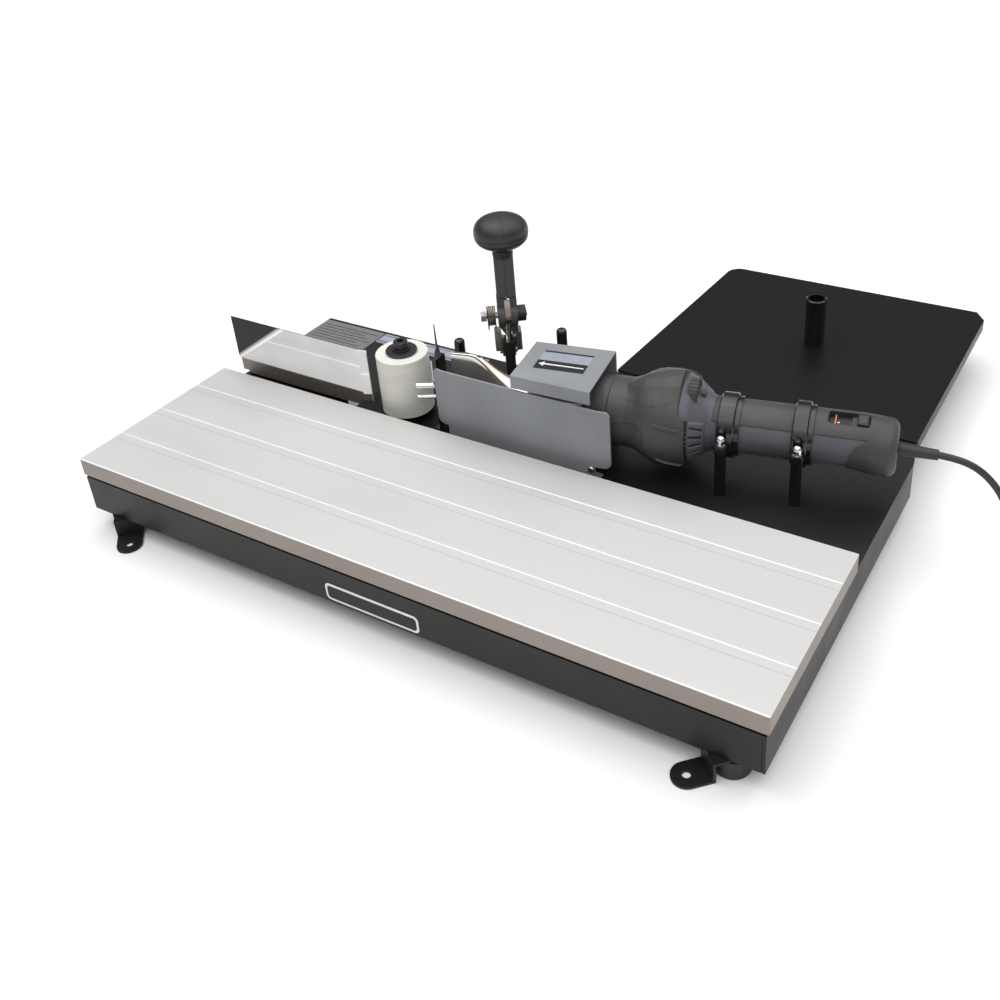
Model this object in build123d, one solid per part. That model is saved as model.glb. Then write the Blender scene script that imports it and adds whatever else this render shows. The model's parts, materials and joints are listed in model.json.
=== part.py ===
from build123d import *
import math
import os

# Bench-top hot-air edge bander, in millimetres, +Z up.
# It is drawn in a bench frame: x from the left side of the steel frame, y back from its
# front face, z up from its top sheet. SHIFT then puts the origin on the floor, under the
# middle of the machine's box.

# ---- driving dimensions -------------------------------------------------------------
FRAME_W, FRAME_D, FRAME_H = 900.0, 468.0, 48.0      # folded steel pan
SHEET = 2.5                                         # its sheet thickness
FLOOR = -73.0                                       # underside of the feet
TONGUE_BACK = 545.0                                 # shelf that carries the rear plate

PLATE_LEFT, PLATE_RIGHT = 479.5, 892.0              # rear extension plate
PLATE_FRONT, PLATE_BACK = 511.5, 881.0
PLATE_T, PLATE_LIP = 3.0, 13.0

TABLE_D, TABLE_T, TABLE_Z = 249.5, 22.0, 4.0        # extruded work table
TABLE_X0, TABLE_X1, TABLE_Y0 = 1.5, 898.5, -1.0
END_STRIP = 4.0

FOOT_X, FOOT_Y, FOOT_R, FOOT_TOP = 38.5, 17.0, 19.0, -51.0
TAB_R, TAB_REACH, WEB_TO_FOOT, BRACKET_T = 15.5, 22.0, 24.0, 3.0
BENCH_HOLE_R, FOOT_SEAT = 4.5, -60.0

FENCE_Y = 265.0                                     # face that the board's edge runs along
ROLLER_X, ROLLER_Y, ROLLER_R = 281.5, 298.0, 34.0
ROLLER_Z0, ROLLER_Z1 = 12.0, 94.0
BASE_T = 4.0                                        # base plates under roller and cutter

CUT_X, CUT_Y, CUT_YAW, PIVOT_Z = 395.0, 378.0, 37.5, 134.5
GUN_X, GUN_Y, GUN_Z, GUN_YAW, GUN_ROLL = 760.0, 365.0, 70.2, 12.34, 9.0
HANDLE_R, SHELL = 31.0, 3.0
TUBE_R = 17.5

SPOOL_X, SPOOL_Y, SPOOL_R, SPOOL_BORE_R, SPOOL_H = 694.9, 698.7, 14.0, 11.0, 69.0

M5, M6, M8 = 2.5, 3.0, 4.0                          # shank radii
M8_NUT_H, M8_ACROSS = 6.5, 13.0
CLEAR = 0.1                                         # radial room in a bolt hole
RUN = 0.05                                          # radial running clearance

CORD_R = 4.0
COIL_X, COIL_Y = 1085.0, 477.0
COIL_OUT, COIL_IN = 52.0, 36.0                      # radii of the outer and inner turns
COIL_TOP = -40.0
PLUG_START = 45.0                                   # cord left over between coil and plug

TAB_DIAGONAL = math.sqrt(0.5)
TAB_HOLE_Y = FOOT_Y - (WEB_TO_FOOT + TAB_REACH) * TAB_DIAGONAL
FRONT_MOST = TAB_HOLE_Y - TAB_R
SHIFT = Pos(-FRAME_W / 2, -(FRONT_MOST + PLATE_BACK) / 2, -FLOOR)
GUN_LEVEL = Pos(GUN_X, GUN_Y, GUN_Z) * Rot(0, 0, GUN_YAW)  # local x runs to the gun's rear
GUN = GUN_LEVEL * Rot(GUN_ROLL, 0, 0)                     # the gun is turned a little in its clamps
CUT = Pos(CUT_X, CUT_Y, 0) * Rot(0, 0, CUT_YAW)           # local x runs along the tape


# ---- helpers ------------------------------------------------------------------------
def block(x0, x1, y0, y1, z0, z1):
    """A box between two corners."""
    centre = Pos((x0 + x1) / 2, (y0 + y1) / 2, (z0 + z1) / 2)
    return centre * Box(x1 - x0, y1 - y0, z1 - z0)


def rod(x, y, z0, z1, radius):
    """An upright cylinder."""
    return Pos(x, y, (z0 + z1) / 2) * Cylinder(radius, z1 - z0)


def bar(start, end, radius):
    """A cylinder between two points."""
    along = Vector(*end) - Vector(*start)
    base = Plane(origin=start, z_dir=along)
    return base * Cylinder(radius, along.length, align=(Align.CENTER, Align.CENTER, Align.MIN))


def hexagon(x, y, z0, z1, across):
    """An upright hexagonal prism, given across its flats."""
    face = RegularPolygon(across / 2, 6, major_radius=False)
    return Pos(x, y, z0) * extrude(face, z1 - z0)


def prism(points, z0, z1):
    """An outline in the XY plane, raised from z0 to z1."""
    return Pos(0, 0, z0) * extrude(make_face(Polyline(*points, close=True)), z1 - z0)


def side_plate(points, x0, x1):
    """An outline in the YZ plane, given thickness along X."""
    face = make_face(Plane.YZ * Polyline(*points, close=True))
    return Pos(x0, 0, 0) * extrude(face, x1 - x0, dir=(1, 0, 0))


def turned(points):
    """A profile of (x, radius) points turned about the X axis."""
    face = make_face(Plane.XZ * Polyline(*points, close=True))
    return revolve(face, Axis.X)


def pan_screw(x, y, seat, shank_r, depth, facing=1):
    """A domed screw on a seat; facing is 1 with its head up and -1 with its head down."""
    head_r, head_h = 2.0 * shank_r, 1.3 * shank_r
    tip = seat - facing * depth
    top = seat + facing * head_h
    head = rod(x, y, min(seat, top), max(seat, top), head_r)
    rim = head.edges().group_by(Axis.Z)[-1 if facing > 0 else 0]
    head = fillet(rim, 0.6 * head_h)
    shank = rod(x, y, min(seat, tip), max(seat, tip), shank_r)
    socket = hexagon(x, y, top - 0.5 * head_h, top + 0.5 * head_h, 1.1 * shank_r)
    return head + shank - socket


def mirrored(shape, left_right, front_back):
    """A copy on the other side of the frame's middle, left to right, front to back or both."""
    if left_right:
        shape = mirror(shape, Plane.YZ.offset(FRAME_W / 2))
    if front_back:
        shape = mirror(shape, Plane.XZ.offset(-FRAME_D / 2))
    return shape


def four_corners(shape):
    """The shape at the front left corner, and its three mirror images."""
    return [mirrored(shape, x, y) for x in (False, True) for y in (False, True)]


def save(node, *shapes):
    """Write one node, shifted to the machine's own origin."""
    solids = [s for shape in shapes for s in (SHIFT * shape).solids()]
    whole = solids[0] if len(solids) == 1 else Compound(children=solids)
    export_step(whole, f"parts/{node}.step")


# ---- frame, rear plate and feet -----------------------------------------------------
TONGUE_STEP, TONGUE_WIDE, TONGUE_NARROW = 511.0, (479.5, 900.0), (484.0, 888.0)
FLANGE, GUSSET = 25.0, 46.0
TABLE_BOLTS = [(x, y) for x in (60.0, 450.0, 840.0) for y in (30.0, 217.5)]
PLATE_BOLTS = [(x, 528.0) for x in (510.0, 686.0, 862.0)]
M5_ON_FRAME = [(60.0, 278.0), (180.0, 278.0), (400.0, 278.0), (560.0, 278.0)]
BASE_SCREWS = [(222.0, 264.0), (222.0, 348.0), (312.0, 348.0)]
CUTTER_SCREWS = [(-23.0, -28.0), (-23.0, 28.0), (23.0, -28.0), (23.0, 28.0)]
COVER_SCREWS = [(478.0, 361.5), (530.0, 371.5)]
CLAMP_POSTS = [(717.8, 314.8), (801.5, 333.1)]


def cutter_screw_places():
    """The cutter base's screws, in the bench frame."""
    return [(CUT * Pos(x, y, 0)).position for x, y in CUTTER_SCREWS]


def frame_holes():
    """Every bolt hole through the top sheet, as (x, y, shank radius)."""
    holes = [(x, y, M8) for x, y in TABLE_BOLTS]
    holes += [(x, y, M6) for x, y in CLAMP_POSTS]
    holes += [(x, y, M5) for x, y in M5_ON_FRAME + BASE_SCREWS + COVER_SCREWS]
    holes += [(p.X, p.Y, M5) for p in cutter_screw_places()]
    holes += [(x, y, M5) for x, y in TAPE_POSTS]
    return holes + [(ROLLER_X, ROLLER_Y, M8)]


def base_frame():
    """A welded pan: top sheet, four walls, flanges with corner gussets, a tongue behind."""
    top = block(SHEET, FRAME_W - SHEET, SHEET, FRAME_D - SHEET, -SHEET, 0)
    for x, y, radius in frame_holes():
        top -= rod(x, y, -SHEET - 1, 1, radius + CLEAR)
    seam_x, seam_w, seam_d = 896.0, 0.8, 0.6
    front = block(0, FRAME_W, 0, SHEET, -FRAME_H, 0)
    front -= block(seam_x, seam_x + seam_w, -1, seam_d, -FRAME_H - 1, -SHEET)
    back = block(0, FRAME_W, FRAME_D - SHEET, FRAME_D, -FRAME_H, 0)
    left = block(0, SHEET, SHEET, FRAME_D - SHEET, -FRAME_H, 0)
    flange_top = -FRAME_H + SHEET
    side_flange = block(SHEET, FLANGE, FLANGE, FRAME_D - FLANGE, -FRAME_H, flange_top)
    front_flange = block(SHEET, FRAME_W - SHEET, SHEET, FLANGE, -FRAME_H, flange_top)
    for x in (FOOT_X, FRAME_W - FOOT_X):
        front_flange -= rod(x, FOOT_Y, -FRAME_H - 1, flange_top + 1, M8 + CLEAR)
    corner = prism([(FLANGE, FLANGE), (GUSSET, FLANGE), (FLANGE, GUSSET)], -FRAME_H, flange_top)
    pairs = [left, mirrored(left, True, False), side_flange, mirrored(side_flange, True, False)]
    pairs += [front_flange, mirrored(front_flange, False, True)]
    return [top, front, back, *pairs, *four_corners(corner), frame_tongue()]


def frame_tongue():
    """The stepped sheet behind the pan that the rear plate is bolted to."""
    left, right = TONGUE_WIDE
    inner_left, inner_right = TONGUE_NARROW
    slant = 7.5
    outline = [
        (left, FRAME_D), (right, FRAME_D), (right - slant, TONGUE_STEP),
        (inner_right, TONGUE_STEP), (inner_right, TONGUE_BACK),
        (inner_left, TONGUE_BACK), (inner_left, TONGUE_STEP), (left, TONGUE_STEP),
    ]
    tongue = prism(outline, -SHEET, 0)
    for x, y in PLATE_BOLTS:
        tongue -= rod(x, y, -SHEET - 1, 1, M6 + CLEAR)
    return tongue


def plate_outline(inset):
    """The rear plate's outline: slanted left side, round and cut-off back corners."""
    slant, chamfer_w, chamfer_d, round_r = 15.5, 15.0, 21.0, 20.0
    corners = [
        (PLATE_LEFT, PLATE_FRONT), (PLATE_RIGHT, PLATE_FRONT),
        (PLATE_RIGHT, PLATE_BACK - chamfer_d), (PLATE_RIGHT - chamfer_w, PLATE_BACK),
        (PLATE_LEFT + slant, PLATE_BACK),
    ]
    face = make_face(Polyline(*corners, close=True))
    back_left = face.vertices().sort_by(Axis.X)[1]
    face = fillet(back_left, round_r)
    return offset(face, amount=-inset) if inset else face


def extension_plate():
    """The sheet that carries the tape spool, with a lip folded down on three sides."""
    sheet = extrude(plate_outline(0), PLATE_T)
    bevel = 1.0
    front_top = sheet.edges().group_by(Axis.Z)[-1].sort_by(Axis.Y)[0]
    sheet = chamfer(front_top, bevel)
    lip = Pos(0, 0, -PLATE_LIP) * extrude(plate_outline(0), PLATE_LIP)
    lip -= Pos(0, 0, -PLATE_LIP) * extrude(plate_outline(SHEET), PLATE_LIP)
    front_end = PLATE_FRONT + SHEET + 1
    lip -= block(PLATE_LEFT - 1, PLATE_RIGHT + 1, PLATE_FRONT - 1, front_end, -PLATE_LIP, 0)
    plate = sheet + lip
    blind = PLATE_T - 0.8
    for x, y in PLATE_BOLTS:
        plate -= rod(x, y, -1, blind, M6 + CLEAR)
    return plate - rod(SPOOL_X, SPOOL_Y, -1, PLATE_T + 1, M6 + CLEAR)


def plate_bolts():
    """M6 bolts from below: three through the tongue and one up into the spool post."""
    head_h, across = 4.0, 10.0
    bolts = []
    for x, y in PLATE_BOLTS:
        head = hexagon(x, y, -SHEET - head_h, -SHEET, across)
        bolts.append(head + rod(x, y, -SHEET, PLATE_T - 1, M6))
    post_grip = 6.0
    head = hexagon(SPOOL_X, SPOOL_Y, -head_h, 0, across)
    bolts.append(head + rod(SPOOL_X, SPOOL_Y, 0, PLATE_T + post_grip, M6))
    return bolts


def spool_post():
    """The tube that the roll of edging tape turns on, with a solid threaded foot."""
    foot, edge = 8.0, 1.0
    top = PLATE_T + SPOOL_H
    post = rod(SPOOL_X, SPOOL_Y, PLATE_T, top, SPOOL_R)
    post = chamfer(post.edges().group_by(Axis.Z)[-1], edge)
    post -= rod(SPOOL_X, SPOOL_Y, PLATE_T + foot, top + 1, SPOOL_BORE_R)
    return post - rod(SPOOL_X, SPOOL_Y, PLATE_T - 1, PLATE_T + foot - 1, M6 + CLEAR)


def foot_bracket():
    """The front left cranked bracket, its tab pointing out over the front edge."""
    local = Pos(FOOT_X, FOOT_Y, 0) * Rot(0, 0, -45)
    upper = rod(0, 0, FOOT_TOP, FOOT_TOP + BRACKET_T, TAB_R)
    upper += block(0, WEB_TO_FOOT, -TAB_R, TAB_R, FOOT_TOP, FOOT_TOP + BRACKET_T)
    web = block(
        WEB_TO_FOOT - BRACKET_T / 2, WEB_TO_FOOT + BRACKET_T / 2,
        -TAB_R, TAB_R, FLOOR, FOOT_TOP + BRACKET_T,
    )
    reach = WEB_TO_FOOT + TAB_REACH
    tab = rod(reach, 0, FLOOR, FLOOR + BRACKET_T, TAB_R)
    tab += block(WEB_TO_FOOT, reach, -TAB_R, TAB_R, FLOOR, FLOOR + BRACKET_T)
    bracket = upper + web + tab
    bracket -= rod(0, 0, FOOT_TOP - 1, FOOT_TOP + BRACKET_T + 1, M8 + CLEAR)
    bracket -= rod(reach, 0, FLOOR - 1, FLOOR + BRACKET_T + 1, BENCH_HOLE_R)
    return local * bracket


def rubber_foot():
    """A rubber disc with a recess below for its bolt head."""
    recess_r, edge = 9.0, 2.0
    foot = rod(FOOT_X, FOOT_Y, FLOOR, FOOT_TOP, FOOT_R)
    foot = fillet(foot.edges().group_by(Axis.Z)[0], edge)
    foot -= rod(FOOT_X, FOOT_Y, FLOOR - 1, FOOT_SEAT, recess_r)
    return foot - rod(FOOT_X, FOOT_Y, FOOT_SEAT - 1, FOOT_TOP + 1, M8 + CLEAR)


def foot_bolt():
    """An M8 bolt up through foot, bracket and flange."""
    head_h, end = 5.3, -36.0
    head = hexagon(FOOT_X, FOOT_Y, FOOT_SEAT - head_h, FOOT_SEAT, M8_ACROSS)
    return head + rod(FOOT_X, FOOT_Y, FOOT_SEAT, end, M8)


def foot_nut():
    """Its nut, on top of the return flange."""
    seat = -FRAME_H + SHEET
    nut = hexagon(FOOT_X, FOOT_Y, seat, seat + M8_NUT_H, M8_ACROSS)
    return nut - rod(FOOT_X, FOOT_Y, seat - 1, seat + M8_NUT_H + 1, M8 + CLEAR)


# ---- work table ---------------------------------------------------------------------
RIBS = [(30.0, 12.0), (77.5, 3.0), (123.75, 12.0), (171.0, 3.0), (217.5, 12.0)]
GROOVES = [66.0, 131.5, 197.0]
BOLT_BITE = 14.0


def work_table():
    """A hollow aluminium extrusion: two skins, ribs, and three V grooves in the top."""
    wall = 3.5
    back = TABLE_Y0 + TABLE_D
    top = TABLE_Z + TABLE_T
    table = block(TABLE_X0, TABLE_X1, TABLE_Y0, back, TABLE_Z, top)
    edges = [TABLE_Y0 + wall]
    for centre, width in RIBS:
        edges += [centre - width / 2, centre + width / 2]
    edges.append(back - wall)
    for y0, y1 in zip(edges[::2], edges[1::2]):
        table -= block(TABLE_X0 - 1, TABLE_X1 + 1, y0, y1, TABLE_Z + wall, top - wall)
    half, depth = 0.9, 0.8
    for y in GROOVES:
        cut = [(y - half, top), (y + half, top), (y, top - depth)]
        table -= side_plate(cut, TABLE_X0 - 1, TABLE_X1 + 1)
    for x, y in TABLE_BOLTS:
        table -= rod(x, y, TABLE_Z - 1, TABLE_Z + BOLT_BITE + 1, M8 + CLEAR)
    return table


def table_end_strips():
    """Flat bars that close both ends of the extrusion."""
    back = TABLE_Y0 + TABLE_D
    edge = 2.0
    strips = []
    for x0, x1 in ((TABLE_X0 - END_STRIP, TABLE_X0), (TABLE_X1, TABLE_X1 + END_STRIP)):
        strip = block(x0, x1, TABLE_Y0, back, TABLE_Z, TABLE_Z + TABLE_T)
        outer_x = x0 if x0 < 0 else x1
        uprights = strip.edges().filter_by(Axis.Z)
        corners = [e for e in uprights if abs(e.center().X - outer_x) < 1]
        strips.append(fillet(corners, edge))
    return strips


def table_spacers():
    """Bars that lift the table off the frame's top sheet."""
    half_w, margin = 15.0, 11.0
    spacers = []
    for x in sorted({x for x, _ in TABLE_BOLTS}):
        bar_y1 = TABLE_Y0 + TABLE_D - margin
        spacer = block(x - half_w, x + half_w, TABLE_Y0 + margin, bar_y1, 0, TABLE_Z)
        for y in sorted({y for _, y in TABLE_BOLTS}):
            spacer -= rod(x, y, -1, TABLE_Z + 1, M8 + CLEAR)
        spacers.append(spacer)
    return spacers


def table_bolts():
    """M8 bolts from below, through the sheet and the spacers into the table's ribs."""
    head_h = 5.3
    return [
        hexagon(x, y, -SHEET - head_h, -SHEET, M8_ACROSS)
        + rod(x, y, -SHEET, TABLE_Z + BOLT_BITE, M8)
        for x, y in TABLE_BOLTS
    ]


# ---- guide, fence and their screws --------------------------------------------------
FLANGE_BACK = 286.0
GUIDE_T, GUIDE_TOP = 1.2, 103.0
FENCE_T, FENCE_TOP, FENCE_STEP = 2.5, 103.5, 26.0
FENCE_SCREW = (576.0, 21.0)


def bent_sheet(path, thickness, z0, z1):
    """An upright sheet whose front face follows a plan path of straight stretches."""
    back = [(x, y + thickness) for x, y in reversed(path)]
    face = make_face(Polyline(*path, *back, close=True))
    return Pos(0, 0, z0) * extrude(face, z1 - z0)


def outfeed_guide():
    """The polished sheet that the finished edge runs along, left of the roller."""
    x0, x1, bend_x, bend_y = 14.5, 248.0, 236.0, 267.5
    notch_x, notch_z, foot_right = 28.0, 21.0, 205.0
    path = [(x0, FENCE_Y), (bend_x, FENCE_Y), (x1, bend_y)]
    sheet = bent_sheet(path, GUIDE_T, 0, GUIDE_TOP)
    sheet -= block(x0 - 1, notch_x, FENCE_Y - 5, FENCE_Y + 5, -1, notch_z)
    sheet -= block(foot_right, x1 + 1, FENCE_Y - 5, FENCE_Y + 9, -1, notch_z + 6)
    sheet += block(notch_x, foot_right, FENCE_Y, FLANGE_BACK, 0, GUIDE_T)
    for x, y in M5_ON_FRAME[:2]:
        sheet -= rod(x, y, -1, GUIDE_T + 1, M5 + CLEAR)
    return sheet


def infeed_fence():
    """The painted fence in front of the nozzle, with both ends flared back."""
    left, right = (354.0, 268.2), (600.0, 268.8)
    bend_left, bend_right = 366.5, 585.6
    leg_left, leg_right = 371.0, 580.0
    path = [left, (bend_left, FENCE_Y), (bend_right, FENCE_Y), right]
    sheet = bent_sheet(path, FENCE_T, 0, FENCE_TOP)
    behind = FENCE_Y + 10
    sheet -= block(left[0] - 1, leg_left, FENCE_Y - 5, behind, -1, FENCE_STEP)
    sheet -= block(leg_right, right[0] + 1, FENCE_Y - 5, behind, -1, FENCE_STEP)
    corner_r = 7.0
    ends = [e for e in sheet.edges().filter_by(Axis.Y, tolerance=40) if is_fence_corner(e)]
    sheet = fillet(ends, corner_r)
    sheet += block(leg_left, leg_right, FENCE_Y, FLANGE_BACK, 0, FENCE_T)
    for x, y in M5_ON_FRAME[2:]:
        sheet -= rod(x, y, -1, FENCE_T + 1, M5 + CLEAR)
    screw_x, screw_z = FENCE_SCREW
    return sheet - bar((screw_x, FENCE_Y - 1, screw_z), (screw_x, behind, screw_z), M5 + CLEAR)


def is_fence_corner(edge):
    """True for the short edges through the sheet at the four outer corners."""
    middle = edge.center()
    at_end = middle.X < 356 or middle.X > 598
    at_height = abs(middle.Z - FENCE_TOP) < 0.1 or abs(middle.Z - FENCE_STEP) < 0.1
    return at_end and at_height and edge.length < 2 * FENCE_T


def fence_screw():
    """A bright screw and its nut, low on the fence's right-hand end."""
    x, z = FENCE_SCREW
    head_r, head_h, nut_h = 4.2, 2.6, 4.0
    back = FENCE_Y + FENCE_T
    head = bar((x, FENCE_Y - head_h, z), (x, FENCE_Y, z), head_r)
    head = fillet(head.edges().sort_by(Axis.Y)[0], 1.8)
    shank = bar((x, FENCE_Y, z), (x, back + nut_h + 1, z), M5)
    nut = bar((x, back, z), (x, back + nut_h, z), head_r)
    return head + shank + nut


def m5_screws():
    """The pan-head screws that hold the guide, fence, base plates, cover and posts."""
    length = 9.0
    places = [(x, y, GUIDE_T) for x, y in M5_ON_FRAME[:2]]
    places += [(x, y, FENCE_T) for x, y in M5_ON_FRAME[2:]]
    places += [(x, y, BASE_T) for x, y in BASE_SCREWS]
    places += [(p.X, p.Y, BASE_T) for p in cutter_screw_places()]
    places += [(x, y, COVER_T) for x, y in COVER_SCREWS]
    screws = [pan_screw(x, y, seat, M5, length) for x, y, seat in places]
    screws += [pan_screw(x, y, -SHEET, M5, length, facing=-1) for x, y in TAPE_POSTS]
    return screws


# ---- pressure roller ----------------------------------------------------------------
ROLLER_PLATE = (210.0, 362.0, 252.0, 360.0)
BEARING_R, BEARING_W, AXLE_R = 11.0, 7.0, 6.0
AXLE_TOP, WASHER_R, WASHER_T = 95.0, 20.3, 3.0


def roller_base_plate():
    """The plate that carries the roller, the tape guide and one tape post."""
    x0, x1, y0, y1 = ROLLER_PLATE
    plate = block(x0, x1, y0, y1, 0, BASE_T)
    for x, y in BASE_SCREWS:
        plate -= rod(x, y, -1, BASE_T + 1, M5 + CLEAR)
    plate -= rod(*TAPE_POSTS[0], -1, BASE_T + 1, M5 + CLEAR)
    return plate - rod(ROLLER_X, ROLLER_Y, -1, BASE_T + 1, M8 + CLEAR)


def roller_spindle():
    """The fixed axle: a shoulder, a ground shaft and an M8 stud into the frame."""
    shoulder_r, stud_end, top_bore = 9.0, -9.0, 20.0
    axle = rod(ROLLER_X, ROLLER_Y, BASE_T, ROLLER_Z0 - 0.4, shoulder_r)
    axle += rod(ROLLER_X, ROLLER_Y, BASE_T, AXLE_TOP, AXLE_R - RUN)
    axle += rod(ROLLER_X, ROLLER_Y, stud_end, BASE_T, M8)
    return axle - rod(ROLLER_X, ROLLER_Y, AXLE_TOP - top_bore, AXLE_TOP + 1, M8 + CLEAR)


def spindle_nut():
    """The nut that draws the spindle down, below the top sheet."""
    nut = hexagon(ROLLER_X, ROLLER_Y, -SHEET - M8_NUT_H, -SHEET, M8_ACROSS)
    return nut - rod(ROLLER_X, ROLLER_Y, -20, 0, M8 + CLEAR)


def roller_bearings():
    """Two ball bearings pressed into the roller, running on the spindle."""
    bearings = []
    for z0 in (ROLLER_Z0, ROLLER_Z1 - BEARING_W):
        ring = rod(ROLLER_X, ROLLER_Y, z0, z0 + BEARING_W, BEARING_R)
        bearings.append(ring - rod(ROLLER_X, ROLLER_Y, z0 - 1, z0 + BEARING_W + 1, AXLE_R))
    return bearings


def pressure_roller():
    """The roller that presses the tape to the board: a moulded drum with a bored hub."""
    edge, relief_r = 1.5, AXLE_R + 2.0
    drum = rod(ROLLER_X, ROLLER_Y, ROLLER_Z0, ROLLER_Z1, ROLLER_R)
    drum = fillet(drum.edges(), edge)
    drum -= rod(ROLLER_X, ROLLER_Y, ROLLER_Z0 - 1, ROLLER_Z1 + 1, relief_r)
    for z0, z1 in ((ROLLER_Z0 - 1, ROLLER_Z0 + BEARING_W), (ROLLER_Z1 - BEARING_W, ROLLER_Z1 + 1)):
        drum -= rod(ROLLER_X, ROLLER_Y, z0, z1, BEARING_R)
    return drum


def roller_washer():
    """The wide washer that keeps the roller on its spindle."""
    top = AXLE_TOP + WASHER_T
    washer = rod(ROLLER_X, ROLLER_Y, AXLE_TOP, top, WASHER_R)
    washer = chamfer(washer.edges().group_by(Axis.Z)[-1], 0.8)
    return washer - rod(ROLLER_X, ROLLER_Y, AXLE_TOP - 1, top + 1, M8 + CLEAR)


def roller_bolt():
    """A socket-head M8 bolt with a collar, down into the spindle."""
    head_r, head_h, collar_r, collar_h, length = 9.3, 10.0, 12.0, 2.0, 15.0
    seat = AXLE_TOP + WASHER_T
    bolt = rod(ROLLER_X, ROLLER_Y, seat, seat + collar_h, collar_r)
    head = rod(ROLLER_X, ROLLER_Y, seat + collar_h, seat + collar_h + head_h, head_r)
    bolt += chamfer(head.edges().group_by(Axis.Z)[-1], 1.0)
    bolt += rod(ROLLER_X, ROLLER_Y, AXLE_TOP - length, seat, M8)
    top = seat + collar_h + head_h
    return bolt - hexagon(ROLLER_X, ROLLER_Y, top - 6, top + 1, 8.0)


# ---- tape guide, nozzle, cover and posts --------------------------------------------
TAPE_POSTS = [(344.0, 340.0), (450.0, 419.0)]
BRACKET = (350.0, 356.0, 272.0, 292.0)
BRACKET_TOP = 112.0
PIN_START, PIN_END = (325.0, 267.5), (350.0, 281.0)
PINS = [(70.0, 4.0), (54.0, 2.5)]
COVER_T, COVER_TOP = 2.0, 124.0
COVER_CORNERS = [(471.5, 263.5), (575.0, 269.5), (558.0, 368.0), (457.0, 348.5)]


def tape_guide_bracket():
    """The black upright just behind the fence's left end, with a foot."""
    x0, x1, y0, y1 = BRACKET
    upright = block(x0, x1, y0, y1, BASE_T, BRACKET_TOP)
    foot = block(x0 - 9, x1, y0, y1, BASE_T, BASE_T + 5)
    return upright + foot


def tape_guide_pins():
    """Two bright pins that hold the tape against the roller."""
    pins = []
    for z, radius in PINS:
        pin = bar((*PIN_START, z), (*PIN_END, z), radius)
        pins.append(pin - block(*BRACKET[:2], 260, 300, z - 10, z + 10))
    return pins


def tape_guide_strip():
    """A bright spring strip clipped to the bracket's front left edge."""
    x0, _, y0, _ = BRACKET
    strip = block(x0 - 2.0, x0, y0, y0 + 5.0, 78.0, 110.0)
    return strip + block(x0 - 2.0, x0, y0 - 1.0, y0 + 2.0, 76.0, 80.0)


def tape_guide_blade():
    """A thin pointed leaf that stands above the bracket and parts the tape from it."""
    x0 = BRACKET[0]
    z0, z1 = 96.0, 155.0
    outline = [
        (279.0, z0), (291.0, z0), (291.0, 114.0), (287.5, 128.0),
        (286.2, z1), (285.0, z1), (284.0, 122.0), (279.0, 114.0),
    ]
    return side_plate(outline, x0 - 1.0, x0)


DUCT_WALL, COLLAR_R, COLLAR_FRONT, COLLAR_BACK = 1.2, 19.5, -300.0, -270.0
DUCT_INTO_COLLAR, DUCT_END_R = 2.0, 19.0
CLAMP_SCREW_S, CLAMP_SCREW_R = -278.0, 2.0


def duct_sections(inset):
    """Rounded sections from the tall flat mouth to the round collar."""
    collar = GUN * Pos(COLLAR_FRONT + DUCT_INTO_COLLAR, 0, 0)
    mouth = Vector(368.7, 290.0, 71.0)
    along = Vector(collar.position.X - mouth.X, collar.position.Y - mouth.Y, 0)
    shapes = [
        (0.0, 71.0, 8.0, 94.0, 3.0),
        (0.35, 72.0, 9.5, 96.0, 4.0),
        (0.78, 71.0, 25.0, 54.0, 11.0),
    ]
    sections = []
    for share, z, width, height, corner in shapes:
        at = mouth + along * share
        plane = Plane(origin=(at.X, at.Y, z), z_dir=along, x_dir=(0, 0, 1))
        size = (height - 2 * inset, width - 2 * inset)
        sections.append(plane * RectangleRounded(*size, corner - inset))
    gun_axis = Vector(math.cos(math.radians(GUN_YAW)), math.sin(math.radians(GUN_YAW)), 0)
    plane = Plane(origin=collar.position, z_dir=gun_axis, x_dir=(0, 0, 1))
    side = 2 * (DUCT_END_R - inset)
    sections.append(plane * RectangleRounded(side, side, side / 2 - 0.05))
    return sections


def air_duct():
    """The fish-tail nozzle that blows hot air on the tape's glue."""
    duct = loft(duct_sections(0.0)) - loft(duct_sections(DUCT_WALL))
    collar = turned([
        (COLLAR_FRONT, TUBE_R + CLEAR), (COLLAR_FRONT, COLLAR_R),
        (COLLAR_BACK, COLLAR_R), (COLLAR_BACK, TUBE_R + CLEAR),
    ])
    s = CLAMP_SCREW_S
    hole = bar((s, 0, TUBE_R), (s, 0, COLLAR_R + 1), CLAMP_SCREW_R + CLEAR)
    return duct + GUN * (collar - hole)


def duct_clamp_screw():
    """The small brass screw that locks the collar on the gun's tube."""
    s, head_r, reach = CLAMP_SCREW_S, 3.2, 7.0
    shank = bar((s, 0, TUBE_R + 0.05), (s, 0, COLLAR_R + reach), CLAMP_SCREW_R)
    head = bar((s, 0, COLLAR_R + reach), (s, 0, COLLAR_R + reach + 3), head_r)
    return GUN * (shank + head)


def cover_line(first, second, inset):
    """A plan quadrilateral of one sheet thickness along one edge of the cover."""
    (xa, ya), (xb, yb) = first, second
    length = math.hypot(xb - xa, yb - ya)
    nx, ny = -(yb - ya) / length * inset, (xb - xa) / length * inset
    return [(xa, ya), (xb, yb), (xb + nx, yb + ny), (xa + nx, ya + ny)]


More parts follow.
